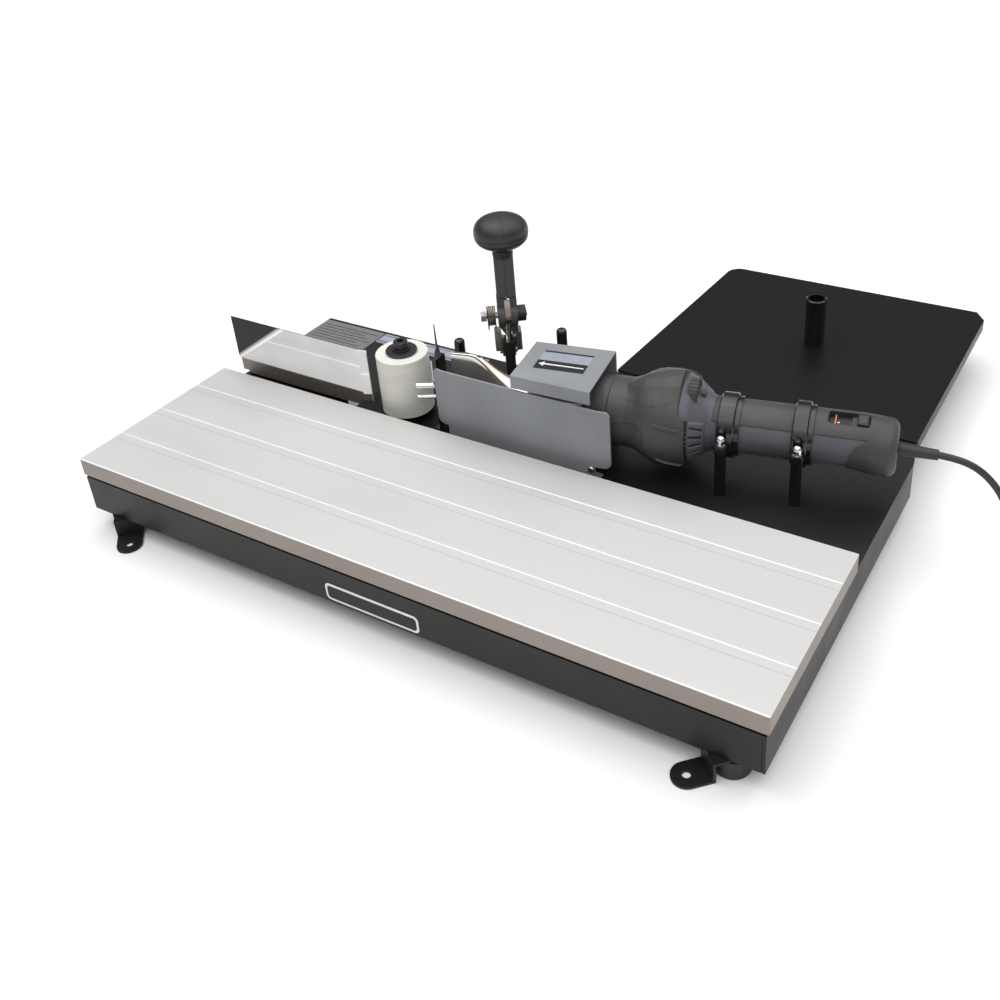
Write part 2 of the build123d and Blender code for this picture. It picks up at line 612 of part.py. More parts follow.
def heat_cover():
    """A bent sheet over the nozzle: top, short front apron, back wall and foot."""
    front_left, front_right, back_right, back_left = COVER_CORNERS
    apron, foot = 17.0, 14.0
    cover = prism(COVER_CORNERS, COVER_TOP - COVER_T, COVER_TOP)
    cover += prism(cover_line(front_left, front_right, COVER_T), COVER_TOP - apron, COVER_TOP)
    cover += prism(cover_line(back_left, back_right, -COVER_T), 0, COVER_TOP)
    cover += prism(cover_line(back_left, back_right, foot), 0, COVER_T)
    for x, y in COVER_SCREWS:
        cover -= rod(x, y, -1, COVER_T + 1, M5 + CLEAR)
    return cover


def tape_posts():
    """Two black guide posts with domed tops and flanged feet."""
    radius, top, foot_r, foot_t, dome = 7.0, 106.0, 12.0, 4.0, 4.5
    posts = []
    for (x, y), z0 in zip(TAPE_POSTS, (BASE_T, 0.0)):
        post = rod(x, y, z0, top, radius)
        post = fillet(post.edges().group_by(Axis.Z)[-1], dome)
        post += rod(x, y, z0, z0 + foot_t, foot_r)
        posts.append(post - rod(x, y, -10, 8.0, M5 + CLEAR))
    return posts


# ---- tape cutter and its lever ------------------------------------------------------
BASE_HALF_W, BASE_HALF_D = 30.0, 35.0
PED_X0, PED_X1, PED_HALF, PED_TOP = -6.2, 6.2, 12.0, 99.0
BLADE_X0, BLADE_X1 = -2.2, 1.5
UP_X0, UP_X1, UPRIGHT_Z0 = 1.8, 4.4, 60.0
SLOT_FRONT = -10.5                                  # where the blade's slot starts
STUD_Z, STUD_Y = 79.0, 7.5
LEG_X0, LEG_X1, LEG_Z0, LEG_Z1 = -9.0, 8.4, 72.0, 100.0
LEFT_CHEEK, RIGHT_CHEEK = (-11.4, -2.4), (4.8, 13.5)
CHEEK_R, WEB_HALF, FORK_TOP = 15.0, 5.0, 160.0
BAR_X, BAR_HALF_W, BAR_HALF = 1.4, 12.2, 6.0
BAR_Z0, BAR_Z1, KNOB_SOCKET = 162.0, 216.0, 12.0
NUT_END, HEAD_START, HEAD_H = 24.5, -33.1, 7.0


def cutter_base():
    """A base plate and a pedestal, slotted one way for the tape and across for the blade."""
    base = block(-BASE_HALF_W, BASE_HALF_W, -BASE_HALF_D, BASE_HALF_D, 0, BASE_T)
    base += block(PED_X0, PED_X1, -PED_HALF, PED_HALF, BASE_T, PED_TOP)
    tape_half, tape_z, blade_z, top = 1.5, 20.0, 27.0, PED_TOP + 1
    base -= block(PED_X0 - 1, PED_X1 + 1, -tape_half, tape_half, tape_z, top)
    base -= block(BLADE_X0 - 0.4, UP_X0, SLOT_FRONT, PED_HALF + 1, blade_z, top)
    base -= block(UP_X0, UP_X1, SLOT_FRONT, PED_HALF + 1, UPRIGHT_Z0, top)
    for x, y in CUTTER_SCREWS:
        base -= rod(x, y, -1, BASE_T + 1, M5 + CLEAR)
    left = bar((PED_X0 - 1, STUD_Y, STUD_Z), (BLADE_X0 - 1, STUD_Y, STUD_Z), M6 + CLEAR)
    right = bar((UP_X1, STUD_Y, STUD_Z), (PED_X1 + 1, STUD_Y, STUD_Z), M6 + CLEAR)
    return CUT * (base - left - right)


def cutter_side_blocks():
    """Stop blocks on both sides of the pedestal, each on a leg beside the tape."""
    near, far, leg_near = -8.0, 12.0, 3.0
    block_x0, block_x1, edge = -17.8, 16.8, 1.5
    left = block(block_x0, LEG_X0, near, far, 86.5, 112.0)
    left = fillet(left.edges().filter_by(Axis.Z).group_by(Axis.X)[0], edge)
    left += block(LEG_X0, PED_X0, leg_near, far, LEG_Z0, LEG_Z1)
    left -= bar((block_x0, STUD_Y, STUD_Z), (PED_X0 + 1, STUD_Y, STUD_Z), M6 + CLEAR)
    stand_off = 9.9
    right = block(stand_off, block_x1, near, far, 85.5, 110.8)
    right = fillet(right.edges().filter_by(Axis.Z).group_by(Axis.X)[-1], edge)
    right += block(LEG_X1, stand_off, leg_near, far, 86.0, LEG_Z1)
    right += block(PED_X1, LEG_X1, leg_near, far, LEG_Z0, LEG_Z1)
    right -= bar((PED_X1 - 1, STUD_Y, STUD_Z), (block_x1, STUD_Y, STUD_Z), M6 + CLEAR)
    return [CUT * left, CUT * right]


def cutter_studs():
    """Short bright studs that hold the blocks and the fixed blade to the pedestal."""
    head_r, left_h, right_h = 4.2, 3.5, 2.2
    left = bar((LEG_X0, STUD_Y, STUD_Z), (BLADE_X0 - 1.2, STUD_Y, STUD_Z), M6)
    left += bar((LEG_X0 - left_h, STUD_Y, STUD_Z), (LEG_X0, STUD_Y, STUD_Z), head_r)
    right = bar((UP_X1 - 1.5, STUD_Y, STUD_Z), (LEG_X1, STUD_Y, STUD_Z), M6)
    right += bar((LEG_X1, STUD_Y, STUD_Z), (LEG_X1 + right_h, STUD_Y, STUD_Z), head_r)
    return [CUT * left, CUT * right]


def cutter_upright():
    """The fixed cutting plate, which also carries the lever's pivot."""
    top_r, tape_half = 11.0, 1.5
    lower = block(UP_X0, UP_X1, tape_half, PED_HALF, UPRIGHT_Z0, PED_TOP)
    outline = [
        (tape_half, PED_TOP), (PED_HALF, PED_TOP), (top_r, PIVOT_Z), (-top_r, PIVOT_Z),
    ]
    upper = side_plate(outline, UP_X0, UP_X1)
    upper += bar((UP_X0, 0, PIVOT_Z), (UP_X1, 0, PIVOT_Z), top_r)
    plate = lower + upper
    plate -= bar((0, 0, PIVOT_Z), (10, 0, PIVOT_Z), M8)
    stud = bar((UP_X1 - 1.5, STUD_Y, STUD_Z), (10, STUD_Y, STUD_Z), M6 + CLEAR)
    return CUT * (plate - stud)


def cutter_blade():
    """The moving blade, which hangs from the pivot in front of the tape."""
    hub_r, front, back, tip, tongue_half = 12.0, -10.2, -4.0, 31.0, 5.0
    outline = [
        (front, tip + 8), (back, tip), (back, 118.0),
        (hub_r - 1, PIVOT_Z), (-hub_r + 1, PIVOT_Z), (front, 112.0),
    ]
    blade = side_plate(outline, BLADE_X0, BLADE_X1)
    blade += bar((BLADE_X0, 0, PIVOT_Z), (BLADE_X1, 0, PIVOT_Z), hub_r)
    blade += block(BLADE_X0, BLADE_X1, -tongue_half, tongue_half, PIVOT_Z, BAR_Z0 + 6)
    return CUT * (blade - bar((-5, 0, PIVOT_Z), (5, 0, PIVOT_Z), M8 + RUN))


def lever_web(outline):
    """The lower end of one cheek: an outline in the XZ plane, given thickness along Y."""
    return extrude(make_face(Plane.XZ * Polyline(*outline, close=True)), WEB_HALF, both=True)


def lever_arm():
    """The lever: a close fork over the pivot, drawn to a point, and a bar up to the knob."""
    web_top = PIVOT_Z - 9.5
    left, right = LEFT_CHEEK[0], RIGHT_CHEEK[1]
    arm = block(left, right, -BAR_HALF + 1, BAR_HALF - 1, FORK_TOP - 1, BAR_Z0 + 1)
    arm += lever_web([(left, 121.0), (LEFT_CHEEK[1], 106.0), (LEFT_CHEEK[1], web_top), (left, web_top)])
    near, step_x, outer, low, high = RIGHT_CHEEK[0], 9.6, 12.8, 107.5, 112.2
    arm += lever_web([
        (near, low), (step_x, low), (step_x, high), (outer, high), (outer, web_top), (near, web_top),
    ])
    for x0, x1 in (LEFT_CHEEK, RIGHT_CHEEK):
        arm += bar((x0, 0, PIVOT_Z), (x1, 0, PIVOT_Z), CHEEK_R)
        arm += block(x0, x1, -BAR_HALF - 2, BAR_HALF + 2, PIVOT_Z, FORK_TOP)
    x0, x1 = BAR_X - BAR_HALF_W, BAR_X + BAR_HALF_W
    upper = block(x0, x1, -BAR_HALF, BAR_HALF, BAR_Z0, BAR_Z1 + KNOB_SOCKET)
    arm += chamfer(upper.edges().filter_by(Axis.Z), 1.2)
    arm -= block(BLADE_X0 - 0.1, BLADE_X1 + 0.1, -5.1, 5.1, FORK_TOP - 2, BAR_Z0 + 6.1)
    return CUT * (arm - bar((-20, 0, PIVOT_Z), (20, 0, PIVOT_Z), M8 + RUN))


def knob_quarter(width, height, up):
    """A quarter of an ellipse beside the axis, above or below its widest level."""
    return Ellipse(width, height) & Pos(width / 2, up * height / 2) * Rectangle(width, height)


def lever_knob():
    """A flat mushroom knob with a rounded rim, pressed on the bar."""
    rim_r, rim_z, top_z, under_z, neck_r = 34.0, 248.0, 271.5, 228.0, 14.5
    fit = 0.1
    dome = knob_quarter(rim_r, top_z - rim_z, 1)
    under = knob_quarter(rim_r, rim_z - under_z, -1)
    knob = revolve(Plane.XZ * (Pos(0, rim_z) * dome), Axis.Z)
    knob += revolve(Plane.XZ * (Pos(0, rim_z) * under), Axis.Z)
    knob = Pos(BAR_X, 0, 0) * (knob + rod(0, 0, BAR_Z1, under_z + 6, neck_r))
    x0, x1, y1 = BAR_X - BAR_HALF_W - fit, BAR_X + BAR_HALF_W + fit, BAR_HALF + fit
    return CUT * (knob - block(x0, x1, -y1, y1, BAR_Z1 - 1, BAR_Z1 + KNOB_SOCKET))


def lever_pivot_bolt():
    """The M8 pivot: a hexagon head and a long shank."""
    shank = bar((HEAD_START + HEAD_H, 0, PIVOT_Z), (NUT_END + 1.5, 0, PIVOT_Z), M8)
    turn = Pos(HEAD_START, 0, PIVOT_Z) * Rot(0, 90, 0)
    head = turn * extrude(RegularPolygon(M8_ACROSS / 2, 6, major_radius=False), HEAD_H)
    return CUT * (head + shank)


def lever_pivot_nut():
    """A tall round nut on the right-hand end of the pivot."""
    start, radius = RIGHT_CHEEK[1] + 0.3, 10.5
    nut = bar((start, 0, PIVOT_Z), (NUT_END, 0, PIVOT_Z), radius)
    nut = chamfer(nut.edges().group_by(Axis.X)[-1], 1.0)
    return CUT * (nut - bar((start - 1, 0, PIVOT_Z), (NUT_END + 1, 0, PIVOT_Z), M8))


def lever_spring():
    """The return spring, as the sleeve that its coils fill round the pivot."""
    x0, x1, outer, inner = -25.5, -13.4, 13.4, 10.6
    sleeve = bar((x0, 0, PIVOT_Z), (x1, 0, PIVOT_Z), outer)
    sleeve -= bar((x0 - 1, 0, PIVOT_Z), (x1 + 1, 0, PIVOT_Z), inner)
    hub = bar((x0 - 0.5, 0, PIVOT_Z), (x0 + 1, 0, PIVOT_Z), inner)
    hub -= bar((x0 - 2, 0, PIVOT_Z), (x0 + 2, 0, PIVOT_Z), M8)
    return CUT * (sleeve + hub)


# ---- hot-air gun --------------------------------------------------------------------
CAP_R, SEAM, CAP_FRONT = 42.0, -187.0, -218.0
HOUSING_REAR, CONE_REAR, HANDLE_FRONT, HANDLE_REAR, GUN_END = -92.0, -71.0, -66.0, 112.0, 139.0
STRIP_HALF_ANGLE = 47.0
DIAL_S, DIAL_H, DIAL_R, DIAL_W = -88.0, 42.0, 17.0, 9.0
WINDOW = (62.0, 108.0, 11.0)
SWITCH = (94.0, 106.0, 8.0)
FAN = (-81.5, -65.0, 25.5)
MOTOR = (-60.0, -5.0, 22.0)
HOOD_HALF = 20.0


def gun_heat_tube():
    """The steel tube that holds the heating element, with a flange inside the nose."""
    wall, flange_s, flange_t = 1.5, CAP_FRONT + SHELL, 2.0
    return GUN * turned([
        (-298.0, TUBE_R - wall), (-298.0, TUBE_R), (flange_s, TUBE_R), (flange_s, CAP_R - SHELL - 1),
        (flange_s + flange_t, CAP_R - SHELL - 1), (flange_s + flange_t, TUBE_R),
        (SEAM, TUBE_R), (SEAM, TUBE_R - wall),
    ])


def gun_heating_element():
    """A ceramic core with two end discs that rest in the tube."""
    start, end, core_r, disc = -285.0, -200.0, 12.0, 4.0
    disc_r = TUBE_R - 1.5
    return GUN * turned([
        (start, 0), (start, disc_r), (start + disc, disc_r), (start + disc, core_r),
        (end - disc, core_r), (end - disc, disc_r), (end, disc_r), (end, 0),
    ])


def gun_nose_cap():
    """The moulded cap in front of the seam, open to the tube."""
    outer = turned([(CAP_FRONT, 0), (CAP_FRONT, CAP_R), (SEAM - 0.3, CAP_R), (SEAM - 0.3, 0)])
    outer = fillet(outer.edges().group_by(Axis.X)[0], 3.0)
    inner = turned([
        (CAP_FRONT + SHELL, 0), (CAP_FRONT + SHELL, CAP_R - SHELL), (SEAM, CAP_R - SHELL), (SEAM, 0),
    ])
    hole = bar((CAP_FRONT - 1, 0, 0), (CAP_FRONT + SHELL + 1, 0, 0), TUBE_R + CLEAR)
    return GUN * (outer - inner - hole)


def housing_profile(inset, front, rear):
    """The front housing's profile: a collar that swells to the fan chamber."""
    return [
        (front, 0), (front, CAP_R - inset), (-165.0, CAP_R - inset), (-148.0, 50.0 - inset),
        (-132.0, 57.0 - inset), (-112.0, 58.5 - inset), (rear, 58.5 - inset), (rear, 0),
    ]


def dial_pocket():
    """The room that the setting wheel turns in."""
    room = 1.0
    start = DIAL_S - DIAL_W / 2 - room
    end = DIAL_S + DIAL_W / 2 + room
    return bar((start, 0, DIAL_H), (end, 0, DIAL_H), DIAL_R + room)


def is_hood_ridge(edge):
    """True for the hood's two long upper edges."""
    return edge.center().Z > 50 and abs(edge.center().Y) > HOOD_HALF - 1


def gun_front_housing():
    """The big front shell, with a spigot into the nose cap and a hood over the dial."""
    shell = turned(housing_profile(0, SEAM, HOUSING_REAR))
    spigot_front = SEAM - 10.0
    shell += bar((spigot_front, 0, 0), (SEAM + SHELL, 0, 0), CAP_R - SHELL - CLEAR)
    hood = [
        (-168.0, 30.0), (-168.0, 42.5), (-145.0, 54.5), (-120.0, 61.5),
        (-102.6, 63.8), (HOUSING_REAR, 56.0), (HOUSING_REAR, 30.0),
    ]
    hood_body = extrude(make_face(Plane.XZ * Polyline(*hood, close=True)), HOOD_HALF, both=True)
    shell += chamfer(hood_body.edges().filter_by(is_hood_ridge), 6.0)
    cavity = turned(housing_profile(SHELL, SEAM + SHELL, HOUSING_REAR + 1))
    bore = bar((spigot_front - 1, 0, 0), (SEAM + SHELL + 1, 0, 0), CAP_R - 2 * SHELL - CLEAR)
    return GUN * (shell - cavity - bore - dial_pocket())


def gun_vent_cone():
    """The cone between housing and handle, with air slots and the dial's boss."""
    outer = [
        (HOUSING_REAR, 0), (HOUSING_REAR, 55.0), (-75.0, 37.5),
        (CONE_REAR, 34.7), (HANDLE_FRONT, HANDLE_R), (HANDLE_FRONT, 0),
    ]
    inner = [
        (HOUSING_REAR - 1, 0), (HOUSING_REAR - 1, 56.0 - SHELL), (-76.0, 37.5 - SHELL),
        (HANDLE_FRONT + 1, HANDLE_R - SHELL), (HANDLE_FRONT + 1, 0),
    ]
    shell = turned(outer) - turned(inner) - dial_pocket()
    boss_r, boss_start, boss_end = 6.0, DIAL_S + DIAL_W / 2 + 1, -74.0
    boss = bar((boss_start, 0, DIAL_H - 1), (boss_end, 0, DIAL_H - 1), boss_r) & turned(outer)
    shell += boss
    shell -= bar((boss_start - 1, 0, DIAL_H), (boss_end + 9, 0, DIAL_H), 3.0 + RUN)
    slot_w, slot_s0, slot_s1 = 2.6, -88.5, -76.0
    for angle in (-26, -12.5, 1, 14.5, 28):
        slot = block(slot_s0, slot_s1, -70, -30, -slot_w / 2, slot_w / 2)
        shell -= Rot(-angle, 0, 0) * slot
        shell -= Rot(angle, 0, 0) * mirror(slot, Plane.XZ)
    return GUN * shell


def wedge(start, end):
    """The sector above the handle's axis that the dark top strip takes up."""
    reach = 60.0
    spread = reach * math.tan(math.radians(STRIP_HALF_ANGLE))
    return side_plate([(0, 0), (spread, reach), (-spread, reach)], start, end)


def handle_shell():
    """The whole barrel of the handle, before it is split."""
    return turned([
        (HANDLE_FRONT, HANDLE_R - SHELL), (HANDLE_FRONT, HANDLE_R),
        (HANDLE_REAR, HANDLE_R), (HANDLE_REAR, HANDLE_R - SHELL),
    ])


def gun_handle_body():
    """The lower and side shell of the barrel grip."""
    return GUN * (handle_shell() - wedge(HANDLE_FRONT - 1, HANDLE_REAR + 1))


def gun_handle_top():
    """The top strip of the grip, with the switch window."""
    start, end, half = WINDOW
    strip = handle_shell() & wedge(HANDLE_FRONT, HANDLE_REAR)
    return GUN * (strip - block(start, end, -half, half, 20, 40))


def gun_rear_cap():
    """The rounded cap that closes the grip and takes the cord."""
    edge, drop = 9.0, 3.0
    outer = Pos(0, 0, -drop) * bar((HANDLE_REAR, 0, 0), (GUN_END, 0, 0), HANDLE_R)
    outer = fillet(outer.edges().group_by(Axis.X)[-1], edge)
    inner = bar((HANDLE_REAR - 1, 0, -1), (GUN_END - SHELL, 0, -1), HANDLE_R - 2 * SHELL)
    hole = bar((GUN_END - 10, 0, RELIEF_H), (GUN_END + 5, 0, RELIEF_H), 6.0)
    return GUN * (outer - inner) - GUN_LEVEL * hole


def gun_switch():
    """The sliding switch button, with a foot under the strip."""
    start, end, half = SWITCH
    button = block(start, end, -half, half, 26.0, 33.0)
    button = chamfer(button.edges().group_by(Axis.Z)[-1], 1.5)
    return GUN * (button + block(start - 6, end, -half - 2, half + 2, 22.0, 26.0))


def switch_block():
    """The fixed contact block under the switch button, resting on the lower shell."""
    start, end, half = WINDOW[0], HANDLE_REAR, 12.0
    body = block(start, end, -half, half, -20.0, 21.7)
    return GUN * (body & bar((start, 0, 0), (end, 0, 0), HANDLE_R - SHELL))


def gun_motor():
    """The fan motor, its shaft and two mounting rings."""
    start, end, radius = MOTOR
    can = bar((start, 0, 0), (end, 0, 0), radius)
    shaft = bar((FAN[0] - 1, 0, 0), (start, 0, 0), 3.0)
    ring_r, ring_w = HANDLE_R - SHELL, 6.0
    front_ring = bar((start, 0, 0), (start + ring_w, 0, 0), ring_r)
    rear_ring = bar((end - ring_w, 0, 0), (end, 0, 0), ring_r)
    return GUN * (can + shaft + front_ring + rear_ring)


def gun_fan():
    """The blower wheel: a hub, a back plate and straight vanes."""
    start, end, radius = FAN
    hub = bar((start, 0, 0), (end - 2, 0, 0), 7.0)
    plate = bar((start, 0, 0), (start + 2, 0, 0), radius)
    wheel = hub + plate
    count = 8
    for i in range(count):
        vane = block(start, end - 3, 5, radius - 0.5, -0.8, 0.8)
        wheel += Rot(360 * i / count, 0, 0) * vane
    return GUN * (wheel - bar((start - 1, 0, 0), (end + 1, 0, 0), 3.0 + RUN))


def gun_dial():
    """The ridged setting wheel and its stub shaft."""
    start, end = DIAL_S - DIAL_W / 2, DIAL_S + DIAL_W / 2
    wheel = bar((start, 0, DIAL_H), (end, 0, DIAL_H), DIAL_R)
    count, groove_r = 24, 0.9
    for i in range(count):
        a = 2 * math.pi * i / count
        y, z = DIAL_R * math.cos(a), DIAL_H + DIAL_R * math.sin(a)
        wheel -= bar((start - 1, y, z), (end + 1, y, z), groove_r)
    return GUN * (wheel + bar((end, 0, DIAL_H), (end + 8, 0, DIAL_H), 3.0))


# ---- gun clamps ---------------------------------------------------------------------
CLAMP_RINGS = [(-58.5, -39.0), (25.5, 43.0)]
CLAMP_R, RIM_R, RIM_W = 38.5, 35.0, 5.0
POST_R, POST_TOP, LUG_TOP = 6.6, 58.5, 68.0
CAP_NUT_H, CAP_NUT_R = 11.5, 5.4


def clamp_bands():
    """Two bands round the grip, each with a rim and a lug that stands on its post."""
    bands = []
    lug_half, overhang = 7.5, 7.0
    for (s0, s1), (x, y) in zip(CLAMP_RINGS, CLAMP_POSTS):
        ring = bar((s0, 0, 0), (s1, 0, 0), CLAMP_R)
        ring = chamfer(ring.edges(), 1.2) + bar((s1 - 1, 0, 0), (s1 + RIM_W, 0, 0), RIM_R)
        post = (GUN_LEVEL.inverse() * Pos(x, y, GUN_Z)).position
        lug = block(
            post.X - lug_half, post.X + lug_half, post.Y - overhang, -CLAMP_R + 4,
            POST_TOP - GUN_Z, LUG_TOP - GUN_Z,
        )
        ring += fillet(lug.edges().filter_by(Axis.Z), 3.0)
        ring -= bar((s0 - 1, 0, 0), (s1 + RIM_W + 1, 0, 0), HANDLE_R + CLEAR)
        room = rod(x, y, 0, POST_TOP, POST_R) + rod(x, y, 0, LUG_TOP + 1, M6 + CLEAR)
        room += rod(x, y, LUG_TOP, LUG_TOP + CAP_NUT_H + 20, CAP_NUT_R + 0.6)
        bands.append(GUN_LEVEL * ring - room)
    return bands


def clamp_posts():
    """The plain round posts that carry the bands, tapped at both ends."""
    posts = []
    for x, y in CLAMP_POSTS:
        post = rod(x, y, 0, POST_TOP, POST_R)
        lower, upper = rod(x, y, -1, 12.0, M6 + CLEAR), rod(x, y, POST_TOP - 13, 60, M6 + CLEAR)
        posts.append(post - lower - upper)
    return posts


def clamp_bolts():
    """Bright cap nuts with their studs on top of the posts, and the bolts below."""
    head_h, across, depth, bite, washer_t = 4.0, 10.0, 11.0, 12.0, 1.2
    bolts = []
    for x, y in CLAMP_POSTS:
        dome = rod(x, y, LUG_TOP, LUG_TOP + CAP_NUT_H, CAP_NUT_R)
        dome = fillet(dome.edges().group_by(Axis.Z)[-1], 5.0)
        washer = rod(x, y, LUG_TOP, LUG_TOP + washer_t, CAP_NUT_R + 0.5)
        bolts.append(dome + washer + rod(x, y, POST_TOP - bite, LUG_TOP, M6))
        below = hexagon(x, y, -SHEET - head_h, -SHEET, across)
        bolts.append(below + rod(x, y, -SHEET, depth, M6))
    return bolts


# ---- mains cord ---------------------------------------------------------------------
RELIEF_H = -4.2
RELIEF_START, RELIEF_END = (896.8, 394.9, 66.3), (938.4, 404.0, 64.4)
CORD_ROUTE = [
    RELIEF_END,
    (959.9, 408.7, 62.4),
    (983.5, 413.3, 52.0),
    (1004.0, 417.3, 30.0),
    (1017.8, 420.1, 2.0),
    (1035.4, 422.8, -22.0),
    (1060.0, 424.6, -39.0),
    (COIL_X, COIL_Y - COIL_OUT, -42.3),
]


def strain_relief():
    """The tapered rubber sleeve that the cord leaves the gun through."""
    start, end = Vector(*RELIEF_START), Vector(*RELIEF_END)
    along = end - start
    thick, thin = 7.5, 6.0
    plane = Plane(origin=start, z_dir=along)
    sleeve = plane * Cone(thick, thin, along.length, align=(Align.CENTER, Align.CENTER, Align.MIN))
    inner = start - along.normalized() * 6.0
    return sleeve + bar((inner.X, inner.Y, inner.Z), RELIEF_START, 5.5)


def corner_radii(route):
    """The radius of each bend: as large as the two runs beside it allow."""
    points = [Vector(*p) for p in route]
    radii = []
    for before, at, after in zip(points, points[1:], points[2:]):
        turn = (at - before).get_angle(after - at)
        shorter = min((at - before).length, (after - at).length)
        radii.append(0.45 * shorter / math.tan(math.radians(turn / 2)))
    return radii


def power_cord():
    """The cord from the sleeve down to the coil, and its short end to the plug."""
    radii = corner_radii(CORD_ROUTE)
    print("cord bend radii", [round(r, 1) for r in radii])
    path = FilletPolyline(*CORD_ROUTE, radius=radii)
    start = Plane(origin=CORD_ROUTE[0], z_dir=path % 0)
    tube = sweep(start * Circle(CORD_R), path=path)
    ratio = tube.volume / (math.pi * CORD_R**2 * path.length)
    print("cord length", round(path.length, 1), "volume ratio", round(ratio, 4))
    x, z = COIL_X + COIL_OUT, FLOOR + CORD_R
    return [tube, bar((x, COIL_Y, z), (x, COIL_Y + PLUG_START, z), CORD_R)]


def cord_coil():
    """The outer shape of the wound cord: a ring that lies on the floor."""
    outer = rod(COIL_X, COIL_Y, FLOOR, COIL_TOP, COIL_OUT + CORD_R)
    return outer - rod(COIL_X, COIL_Y, FLOOR - 1, COIL_TOP + 1, COIL_IN - CORD_R)


def plug():
    """A moulded mains plug with two flat blades and a round earth pin."""
    x, y = COIL_X + COIL_OUT, COIL_Y + PLUG_START
    body_half, body_h, sleeve, length = 13.0, 24.0, 16.0, 30.0
    low = FLOOR
    axis_z = FLOOR + CORD_R
    neck = bar((x, y, axis_z + 0.5), (x, y + sleeve + 2, axis_z + 0.5), 4.5)
    body = block(x - body_half, x + body_half, y + sleeve, y + sleeve + length, low, low + body_h)
    body = fillet(body.edges().filter_by(Axis.Y), 5.0)
    front = y + sleeve + length
    blade_len, blade_h, blade_t, spread, blade_z = 17.0, 6.3, 1.5, 6.35, low + 12.0
    whole = body + neck
    whole += bar((x, front - 1, low + 6.0), (x, front + blade_len + 2, low + 6.0), 2.4)
    for middle in (x - spread, x + spread):
        x0, x1 = middle - blade_t / 2, middle + blade_t / 2
        whole += block(x0, x1, front - 1, front + blade_len, blade_z, blade_z + blade_h)
    return whole


# ---- write every node ---------------------------------------------------------------
os.makedirs("parts", exist_ok=True)
save("base_frame", *base_frame())
save("extension_plate", extension_plate())
save("plate_bolts", *plate_bolts())
save("spool_post", spool_post())
save("foot_brackets", *four_corners(foot_bracket()))
save("rubber_feet", *four_corners(rubber_foot()))
save("foot_bolts", *four_corners(foot_bolt()))
save("m8_nuts", *four_corners(foot_nut()), spindle_nut())
save("work_table", work_table())
save("table_end_strips", *table_end_strips())
save("table_spacers", *table_spacers())
save("table_bolts", *table_bolts())
save("outfeed_guide", outfeed_guide())
save("infeed_fence", infeed_fence())
save("fence_screw", fence_screw())
save("m5_screws", *m5_screws())
save("roller_base_plate", roller_base_plate())
save("roller_spindle", roller_spindle())
save("roller_bearings", *roller_bearings())
save("pressure_roller", pressure_roller())
save("roller_washer", roller_washer())
save("roller_bolt", roller_bolt())
save("tape_guide_bracket", tape_guide_bracket())
save("tape_guide_pins", *tape_guide_pins())
save("tape_guide_strip", tape_guide_strip())
save("tape_guide_blade", tape_guide_blade())
save("air_duct", air_duct())
save("duct_clamp_screw", duct_clamp_screw())
save("heat_cover", heat_cover())
save("tape_posts", *tape_posts())
save("cutter_base", cutter_base())
save("cutter_side_blocks", *cutter_side_blocks())
save("cutter_studs", *cutter_studs())
save("cutter_upright", cutter_upright())
save("cutter_blade", cutter_blade())
save("lever_arm", lever_arm())
save("lever_knob", lever_knob())
save("lever_pivot_bolt", lever_pivot_bolt())
save("lever_pivot_nut", lever_pivot_nut())
save("lever_spring", lever_spring())
save("gun_heat_tube", gun_heat_tube())
save("gun_heating_element", gun_heating_element())
save("gun_nose_cap", gun_nose_cap())
save("gun_front_housing", gun_front_housing())
save("gun_vent_cone", gun_vent_cone())
save("gun_handle_body", gun_handle_body())
save("gun_handle_top", gun_handle_top())
save("gun_rear_cap", gun_rear_cap())
save("gun_switch", gun_switch())
save("gun_switch_block", switch_block())
save("gun_motor", gun_motor())
save("gun_fan", gun_fan())
save("gun_dial", gun_dial())
save("clamp_bands", *clamp_bands())
save("clamp_posts", *clamp_posts())
save("clamp_bolts", *clamp_bolts())
save("strain_relief", strain_relief())
save("power_cord", *power_cord())
save("cord_coil", cord_coil())
save("plug", plug())
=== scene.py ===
import bmesh
import bpy
import json
import math
from mathutils import Matrix, Vector


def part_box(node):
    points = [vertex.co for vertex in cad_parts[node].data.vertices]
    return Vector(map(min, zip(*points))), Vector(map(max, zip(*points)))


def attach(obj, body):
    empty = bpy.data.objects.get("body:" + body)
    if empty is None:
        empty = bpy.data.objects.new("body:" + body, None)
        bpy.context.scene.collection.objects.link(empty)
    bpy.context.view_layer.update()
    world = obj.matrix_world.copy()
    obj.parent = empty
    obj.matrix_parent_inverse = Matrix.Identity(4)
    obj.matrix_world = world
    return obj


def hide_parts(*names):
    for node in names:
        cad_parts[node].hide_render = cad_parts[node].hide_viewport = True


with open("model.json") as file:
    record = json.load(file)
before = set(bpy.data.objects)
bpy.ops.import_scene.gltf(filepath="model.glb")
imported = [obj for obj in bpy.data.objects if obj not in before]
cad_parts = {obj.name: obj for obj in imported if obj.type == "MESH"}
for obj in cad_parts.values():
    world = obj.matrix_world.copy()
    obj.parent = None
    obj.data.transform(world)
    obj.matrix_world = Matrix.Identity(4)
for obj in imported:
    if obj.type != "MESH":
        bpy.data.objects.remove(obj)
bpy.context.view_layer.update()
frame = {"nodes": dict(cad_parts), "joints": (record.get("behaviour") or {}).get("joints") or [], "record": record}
MM = 0.001

# ---- frames of reference -------------------------------------------------------------
# Bench frame, in millimetres: x from the left side of the steel frame, y back from its
# front face, z up from its top sheet.
FRAME_HEIGHT = 48.0
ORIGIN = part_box("base_frame")[0] + Vector((0, 0, FRAME_HEIGHT)) * MM
FLOOR = -73.0


